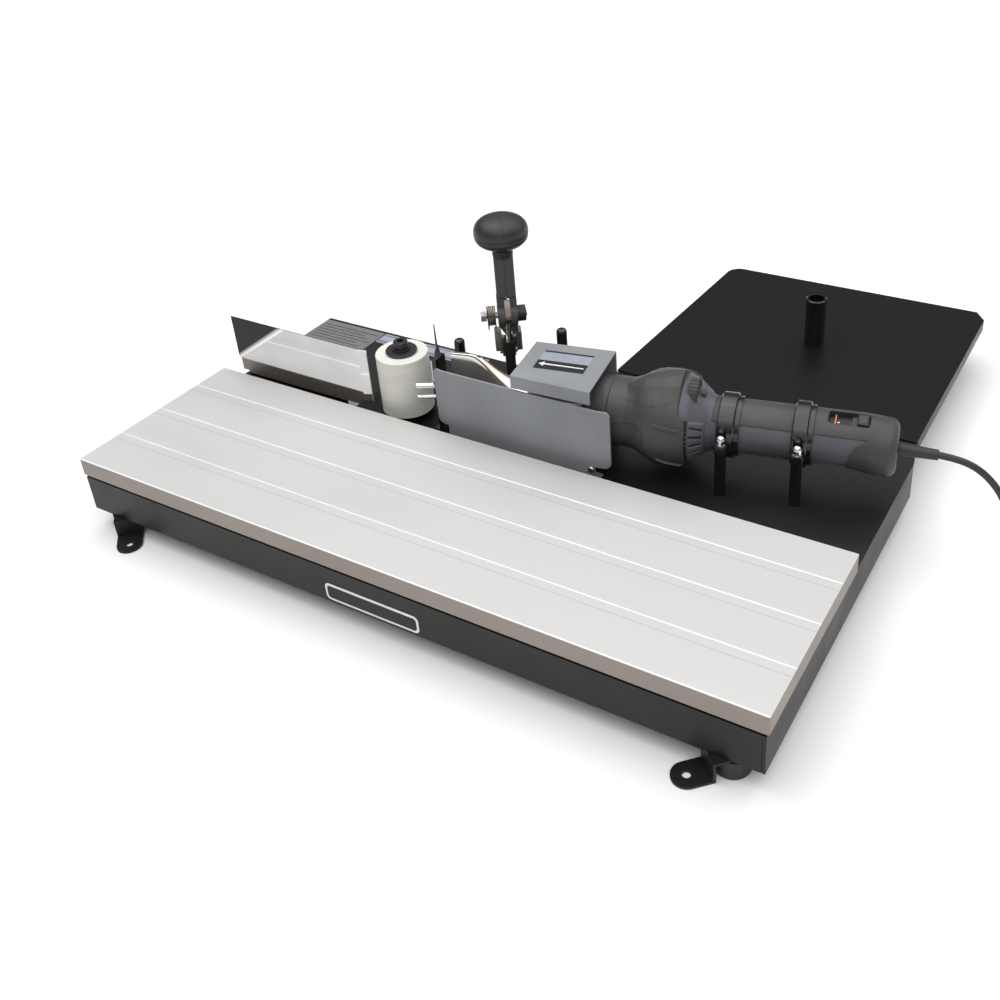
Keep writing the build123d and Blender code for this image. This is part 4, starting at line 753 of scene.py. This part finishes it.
def make_vent_teeth():
    """Black blocks in a ring between the shell and the slotted panels: painted shade for the dark gaps there."""
    teeth, width, first, last = 60, 0.062, 48, 130
    verts, faces = [], []
    beside = [i for i in range(teeth) if first < 180 - abs(180 - 360 * i / teeth) < last]
    for number, i in enumerate(beside):
        angle = 2 * math.pi * i / teeth
        for a in (angle, angle + width):
            for s in (-92.4, -89.4):
                for r in (48.0, 54.2):
                    verts.append((s, r * math.sin(a), r * math.cos(a)))
        k = 8 * number
        faces += [(k, k + 1, k + 3, k + 2), (k + 4, k + 6, k + 7, k + 5),
                  (k, k + 4, k + 5, k + 1), (k + 2, k + 3, k + 7, k + 6),
                  (k + 1, k + 5, k + 7, k + 3), (k, k + 2, k + 6, k + 4)]
    piece("gun_vent_teeth", verts, faces, MATERIALS["black_oxide"], GUN)


def make_vent_panel(side, label):
    """A raised panel that follows the cone, cut by five slanted slots, with a black sheet of painted shade behind
    them.
    """
    low, high, steps, sunk = 51.0, 127.0, 24, -0.8
    verts, rows = [], []
    levels = [(-90.6, sunk), (-90.2, 1.4), (-75.0, 1.8), (-72.6, 1.4), (-72.0, sunk)]
    for i in range(steps + 1):
        angle = math.radians(low + (high - low) * i / steps)
        edge = min(i, steps - i)
        rows.append(range(len(verts), len(verts) + len(levels)))
        for s, out in levels:
            radius = line_at(s, CONE) + (out if edge else sunk)
            verts.append((s, side * radius * math.sin(angle), radius * math.cos(angle)))
    panel = piece(f"gun_vent_panel_{label}", verts, quads(rows, closed=False),
                  MATERIALS["gun_grey"], GUN)
    thick = panel.modifiers.new("thick", "SOLIDIFY")
    thick.thickness, thick.offset = 1.5 * MM, -1
    slots, first, apart, lean = [], 62, 13.5, math.radians(14 * side)
    for i in range(5):
        angle = math.radians(first + apart * i)
        turn = Matrix.Rotation(-side * angle, 4, "X")
        slant = Matrix.Translation((-80.8, 0, 41.0)) @ Matrix.Rotation(lean, 4, "Z")
        outline = rounded_rectangle(-6.6, 6.6, -1.4, 1.4, 1.35)
        slots.append(slab("slot", outline, -14, 16, BLACK_PRINT, GUN @ turn @ slant))
    cut_with(panel, slots)
    # A black sheet under the slots: painted shade standing in for the dark inside of the vents.
    verts, rows, inset, lift = [], [], 3, 0.25
    for i in range(steps + 1):
        angle = math.radians(low + inset + (high - low - 2 * inset) * i / steps)
        rows.append(range(len(verts), len(verts) + 2))
        for s in (-89.8, -73.0):
            radius = line_at(s, CONE) + lift
            verts.append((s, side * radius * math.sin(angle), radius * math.cos(angle)))
    piece(f"gun_vent_painted_shade_{label}", verts, quads(rows, closed=False), BLACK_PRINT, GUN)


GRIP_FRONT, GRIP_END = -66.0, 138.6
STRIP_ANGLE = 47.0
# Where the dark heel starts, as (degrees off the top, place along the gun).
HEEL_LINE = [(31.0, 127.7), (43.8, 109.4), (63.6, 95.7), (83.0, 90.0), (120.0, 87.0)]


def grip_radius(s, angle):
    """The grip: a barrel whose rear end drops, swells below and closes with a round edge."""
    barrel, swell, fall, rounding = 31.0, 4.6, 3.6, 10.0
    under = (0.5 - 0.5 * math.cos(angle)) ** 2
    above = (0.5 + 0.5 * math.cos(angle)) ** 2
    radius = barrel + swell * step(s, 88, 118) * under - fall * step(s, 96, 138) * above
    over = max(s - (GRIP_END - rounding), 0.0)
    return radius - rounding + math.sqrt(max(rounding * rounding - over * over, 0.0))


def grip_patch(name, angles, starts, lift, material, stands_for=(), end=GRIP_END):
    """A stretch of the grip's surface between two angles, lifted off it a little."""
    steps, crowding = 60, 1.6
    verts, rows = [], []
    for angle, start in zip(angles, starts):
        rows.append(range(len(verts), len(verts) + steps + 1))
        for k in range(steps + 1):
            share = k / steps
            s = start + (end - start) * (1 - (1 - share) ** crowding)
            radius = grip_radius(s, angle) + lift
            verts.append((s, -radius * math.sin(angle), radius * math.cos(angle)))
    return piece(name, verts, quads(rows, closed=False), material, GUN, stands_for, smooth=40)


def thicken(made, depth, edge):
    """Gives a surface patch thickness inwards and rounds its rim."""
    thick = made.modifiers.new("thick", "SOLIDIFY")
    thick.thickness, thick.offset = depth * MM, 0
    soften(made, edge, 50)


def make_grip():
    """The grey barrel, the dark strip along its top and the dark heel at its rear."""
    open_half, count = math.radians(40), 88
    angles = [open_half + (2 * math.pi - 2 * open_half) * i / count for i in range(count + 1)]
    barrel = grip_patch("gun_grip_shell", angles, [GRIP_FRONT] * len(angles), 0.0,
                        MATERIALS["gun_grey"], ("gun_handle_body",), GRIP_END - 0.4)
    cap = [(GRIP_END - 0.8, 0.0), (GRIP_END - 0.7, 27.0), (GRIP_END - 1.4, 27.5)]
    turned("gun_grip_end", cap, MATERIALS["gun_charcoal"],
           GUN @ Matrix.Translation((0, 0, -4.0)))
    half, count = math.radians(STRIP_ANGLE), 40
    across = [-half + 2 * half * i / count for i in range(count + 1)]
    strip = grip_patch("gun_grip_strip", across, [GRIP_FRONT] * len(across), 0.5,
                       MATERIALS["gun_charcoal"], ("gun_handle_top",))
    thicken(strip, 1.6, 0.4)
    window = slab("window", rounded_rectangle(62, 108, -11, 11, 4.0), 20, 40, BLACK_PRINT, GUN)
    cut_with(strip, [window])
    first, count = HEEL_LINE[0][0], 90
    lower = [first + (360 - 2 * first) * i / count for i in range(count + 1)]
    starts = [line_at(min(angle, 360 - angle), HEEL_LINE) for angle in lower]
    heel = grip_patch("gun_grip_heel", [math.radians(angle) for angle in lower], starts, 0.9,
                      MATERIALS["gun_charcoal"], ("gun_rear_cap",))
    thicken(heel, 1.8, 0.5)
    make_window_details()
    make_grip_ribs()


def make_window_details():
    """The dark tray under the switch, its rim and a plain orange position mark."""
    tray_top, edge = 24.4, 0.2
    slab("gun_switch_tray", rounded_rectangle(61, 109, -12, 12, 4.0), 22.0, tray_top,
         BLACK_PRINT, GUN, edge)
    rim_outer = rounded_rectangle(60, 110, -13, 13, 5.0)
    rim_inner = rounded_rectangle(62.4, 107.6, -10.6, 10.6, 3.6)
    count = len(rim_outer)
    verts, rows = [], []
    for outline, rise in ((rim_outer, 0.3), (rim_outer, 1.1), (rim_inner, 1.1), (rim_inner, -5.0)):
        rows.append(range(len(verts), len(verts) + count))
        for s, n in outline:
            surface = math.sqrt(max(grip_radius(s, 0) ** 2 - n * n, 0))
            verts.append((s, n, surface + rise))
    piece("gun_switch_rim", verts, quads(rows, closed=True), MATERIALS["gun_charcoal"], GUN)
    slab("gun_switch_mark", [(69.2, -8.5), (70.8, -8.5), (70.8, 8.5), (69.2, 8.5)],
         tray_top, 27.0, ORANGE_PRINT, GUN, edge)
    slab("gun_switch_pip", [(72.0, -4.0), (74.8, -4.0), (74.8, -2.6), (72.0, -2.6)],
         tray_top, 26.6, WHITE_PRINT, GUN, edge)


def make_grip_ribs():
    """Slim ribs along the underside, in two lengths on each side."""
    out, wire, steps, turn = 31.2, 1.3, 6, math.radians(138)
    for number, (s0, s1) in enumerate(((-40.0, 24.0), (44.0, 90.0))):
        for side in (-1, 1):
            angle = turn * side
            label = f"gun_rib_{number}_{'left' if side > 0 else 'right'}"
            across, up = out * math.sin(angle), out * math.cos(angle)
            points = [(s0 + (s1 - s0) * k / steps, across, up) for k in range(steps + 1)]
            tube_along(label, points, wire, MATERIALS["gun_grey"], GUN)


# ---- nozzle --------------------------------------------------------------------------
# Cross sections from mouth to collar, as (reach, height of the middle, half width, half
# height, squareness).
DUCT_SECTIONS = [
    (0.0, 71.0, 4.0, 47.0, 5.0), (12.0, 71.3, 4.1, 47.6, 5.0), (26.0, 71.9, 4.5, 48.6, 4.6),
    (36.0, 71.8, 5.2, 48.3, 4.2), (46.0, 70.9, 6.8, 44.0, 3.6), (58.0, 70.3, 9.4, 36.0, 2.8),
    (70.0, 70.1, 12.4, 28.5, 2.3), (84.0, 70.1, 16.0, 22.4, 2.05), (97.0, 70.2, 18.9, 19.1, 2.0),
    (101.0, 70.2, 19.4, 19.4, 2.0),
]


def make_duct():
    """The fish-tail nozzle: tall and flat at its mouth, round where it grips the tube."""
    mouth = Vector((368.7, 290.0, 0.0))
    collar = BENCH.inverted() @ (GUN @ Vector((-300.0, 0.0, 0.0)))
    along = Vector((collar.x - mouth.x, collar.y - mouth.y, 0.0)).normalized()
    across = Vector((-along.y, along.x, 0.0))
    count, wall = 64, 1.2
    verts, rows = [], []
    for inset in (0.0, wall):
        sections = DUCT_SECTIONS if inset == 0.0 else DUCT_SECTIONS[::-1]
        for reach, height, half_w, half_h, power in sections:
            rows.append(range(len(verts), len(verts) + count))
            for i in range(count):
                a = 2 * math.pi * i / count
                c, s = math.cos(a), math.sin(a)
                x = (half_w - inset) * math.copysign(abs(c) ** (2 / power), c)
                z = (half_h - inset) * math.copysign(abs(s) ** (2 / power), s)
                spot = mouth + along * reach + across * x
                verts.append((spot.x, spot.y, height + z))
    duct = piece("nozzle_duct", verts, quads(rows, closed=True), MATERIALS["duct_steel"], BENCH,
                 stands_for=("air_duct",), smooth=45)
    smooth = duct.modifiers.new("smooth", "SUBSURF")
    smooth.levels = smooth.render_levels = 2
    ring = [(-301.0, 17.7), (-301.0, 19.2), (-300.0, 20.0), (-272.0, 20.0), (-270.5, 19.4),
            (-270.5, 17.7), (-301.0, 17.7)]
    turned("nozzle_collar", ring, MATERIALS["duct_steel"], GUN, count=72)


# ---- cutter and lever ----------------------------------------------------------------
# The middle and the front face of the lever's bar.
BAR_X, BAR_FRONT = 1.4, -6.0


def make_knob():
    """The mushroom knob: a flat dome, a rolled rim, a parting seam and a narrow neck."""
    rim, rim_z, top_z, under_z, full = 34.0, 247.5, 269.8, 227.5, 0.80
    lip, tuck = 2.2, 0.3
    profile = [(top_z, 0.0)]
    for i in range(1, 19):
        a = math.radians(90 - 5 * i)
        profile.append((rim_z + (top_z - rim_z) * math.sin(a) ** full, rim * math.cos(a) ** full))
    profile += [(rim_z - drop, rim - inset)
                for drop, inset in ((1.0, 0.1), (1.8, 1.0), (2.6, 0.9), (3.4, 0.4))]
    for i in range(2, 13):
        a = math.radians(7 * i)
        under = rim_z - lip - (rim_z - lip - under_z) * math.sin(a)
        profile.append((under, (rim - tuck) * math.cos(a) ** full))
    profile += [(under_z - 1.0, 14.0), (under_z - 3.0, 13.0), (217.0, 12.8), (216.2, 12.2),
                (216.2, 0.0)]
    middle = CUT @ Matrix.Translation((BAR_X, 0, 0))
    upright = middle @ Matrix.Rotation(math.radians(-90), 4, "Y")
    knob = turned("knob_cap", profile, MATERIALS["knob_black"], upright, 128, ("lever_knob",),
                  "lever", 60)
    seam = []
    for i in range(17):
        a = math.radians(-84 + 10.5 * i)
        out, up = abs(math.sin(a)) ** full, math.cos(a) ** full
        along, z = math.copysign(rim * out, a) * 1.002, rim_z + (top_z - rim_z + 0.05) * up
        seam.append((along, 0.0, z))
    seam_turn = middle @ Matrix.Rotation(math.radians(90), 4, "Z")
    tube_along("knob_seam", seam, 0.35, MATERIALS["knob_black"], seam_turn, "lever")


def make_spring():
    """The torsion spring's coils and its two straight legs."""
    radius, wire, turns, per_turn, start, end = 12.3, 0.95, 4.25, 16, -14.6, -24.4
    points = [(start, 10.5, PIVOT_Z - 22.0), (start, 11.6, PIVOT_Z - 12.0)]
    count = int(turns * per_turn)
    for i in range(count + 1):
        a = 2 * math.pi * i / per_turn
        x = start + (end - start) * i / count
        points.append((x, radius * math.cos(a), PIVOT_Z + radius * math.sin(a)))
    points += [(end, -8.0, PIVOT_Z - 10.0), (end, -11.0, PIVOT_Z - 14.0)]
    coil = tube_along("return_spring", points, wire, MATERIALS["spring_steel"], CUT, "root",
                      ("lever_spring",))


def make_lever_line():
    """The seam down the lever's bar, and the straw-coloured strip between its cheeks."""
    x0, x1, y0, y1 = BAR_X - 0.35, BAR_X + 0.35, BAR_FRONT - 0.3, BAR_FRONT + 0.1
    slab("lever_seam", [(x0, y0), (x1, y0), (x1, y1), (x0, y1)], 164.0, 216.0,
         MATERIALS["black_oxide"], CUT, 0.1, "lever")
    line = [(-9.6, 124.0), (-12.5, 130.0), (-12.9, 135.0), (-12.2, 140.5), (-9.0, 147.5),
            (-8.2, 159.0)]
    count, left, right, thick = len(line), -2.25, 4.7, 0.9
    verts = [(x, y + deep, z) for x in (left, right) for deep in (0.0, thick) for y, z in line]
    rows = [range(k * count, (k + 1) * count) for k in (0, 1, 3, 2)]
    faces = [(a, b, c, d) for r0, r1 in zip(rows, rows[1:] + rows[:1])
             for a, b, c, d in zip(r0, r0[1:], r1[1:], r1)]
    strip = piece("lever_shim", verts, faces, MATERIALS["blade_steel"], CUT, body="lever")
    soften(strip, 0.15)


# ---- labels --------------------------------------------------------------------------
def rule(name, x0, x1, y, width, z0, z1):
    """A straight printed line on a plate."""
    outline = [(x0, y), (x1, y), (x1, y + width), (x0, y + width)]
    slab(name, outline, z0, z1, BLACK_PRINT)


def make_labels():
    """Plain printed plates: no words, only bars and rules."""
    under, top, ink = 0.05, 0.7, 0.85
    slab("rating_plate", rounded_rectangle(2, 112, 398, 462, 1.5), under, top, SILVER_PRINT,
         BENCH, 0.2)
    for row in range(7):
        rule(f"rating_rule_{row}", 7, 107 - 9 * (row % 3), 405 + 7.5 * row, 1.2, top, ink)
    slab("strip_plate", rounded_rectangle(114, 300, 436, 462, 1.0), under, top, PALE_PRINT,
         BENCH, 0.2)
    for number, y in enumerate((438.5, 441.5, 457.0)):
        rule(f"strip_rule_{number}", 116, 298, y, 1.1, top, ink)
    make_cover_label()
    make_front_badge()


def make_cover_label():
    """The cover's label: a thin black bar and a black band with a white arrow."""
    middle, turn = (513.0, 322.0, 124.0), math.radians(10.8)
    place = BENCH @ Matrix.Translation(middle) @ Matrix.Rotation(turn, 4, "Z")
    slab("cover_film", rounded_rectangle(-32, 31, -25, 19, 1.0), 0.03, 0.2, PALE_PRINT, place)
    slab("cover_bar", [(-31, 15), (31, 15), (31, 18.5), (-31, 18.5)], 0.2, 0.3, BLACK_PRINT, place)
    slab("cover_band", [(-32, -25), (31, -25), (31, -5), (-32, -5)], 0.2, 0.3, BLACK_PRINT, place)
    arrow = [(-29, -13.5), (-22, -8.5), (-22, -12), (28, -13), (28, -15), (-22, -15), (-22, -18.5)]
    slab("cover_arrow", arrow, 0.3, 0.4, WHITE_PRINT, place)


def make_front_badge():
    """A plain blank badge on the frame's front face."""
    stand = BENCH @ Matrix.Rotation(math.radians(90), 4, "X")
    slab("badge_rim", rounded_rectangle(384, 512, -44, -21, 6.0), 0.05, 0.8, WHITE_PRINT,
         stand, 0.2)
    slab("badge_field", rounded_rectangle(387, 509, -41, -24, 4.0), 0.8, 1.0,
         MATERIALS["frame_coat"], stand, 0.1)


# ---- CAD nodes that show -------------------------------------------------------------
# How far the edges of each node are rounded as it is shown, in millimetres.
EDGE_ROUNDING = {
    "base_frame": 0.8, "extension_plate": 0.6, "work_table": 0.3, "table_end_strips": 0.5,
    "infeed_fence": 0.5, "heat_cover": 0.5, "outfeed_guide": 0.25, "lever_arm": 0.7,
    "foot_brackets": 0.6, "cutter_base": 0.5, "cutter_side_blocks": 0.5, "cutter_blade": 0.2,
    "cutter_upright": 0.2, "tape_guide_bracket": 0.6, "roller_base_plate": 0.5, "clamp_bands": 0.8,
    "plug": 0.5, "spool_post": 0.4, "gun_switch": 0.5, "gun_dial": 0.3,
}


def dress_cad_nodes():
    """Gives every CAD node the detailed material of its slot, and rounds its edges."""
    slots = {s["node"]: s["material_slot"] for s in frame["record"]["subparts"]}
    for name, node in frame["nodes"].items():
        material = MATERIALS[slots[name]]
        node.data.materials.clear()
        node.data.materials.append(material)
        if name in EDGE_ROUNDING and not node.hide_render:
            soften(node, EDGE_ROUNDING[name])


def main():
    """Camera and cord first, then the looks."""
    make_camera()
    make_studio()
    make_cord()
    make_housing()
    make_nose()
    make_cone()
    make_grip()
    make_duct()
    make_knob()
    make_spring()
    make_lever_line()
    make_labels()
    dress_cad_nodes()


main()
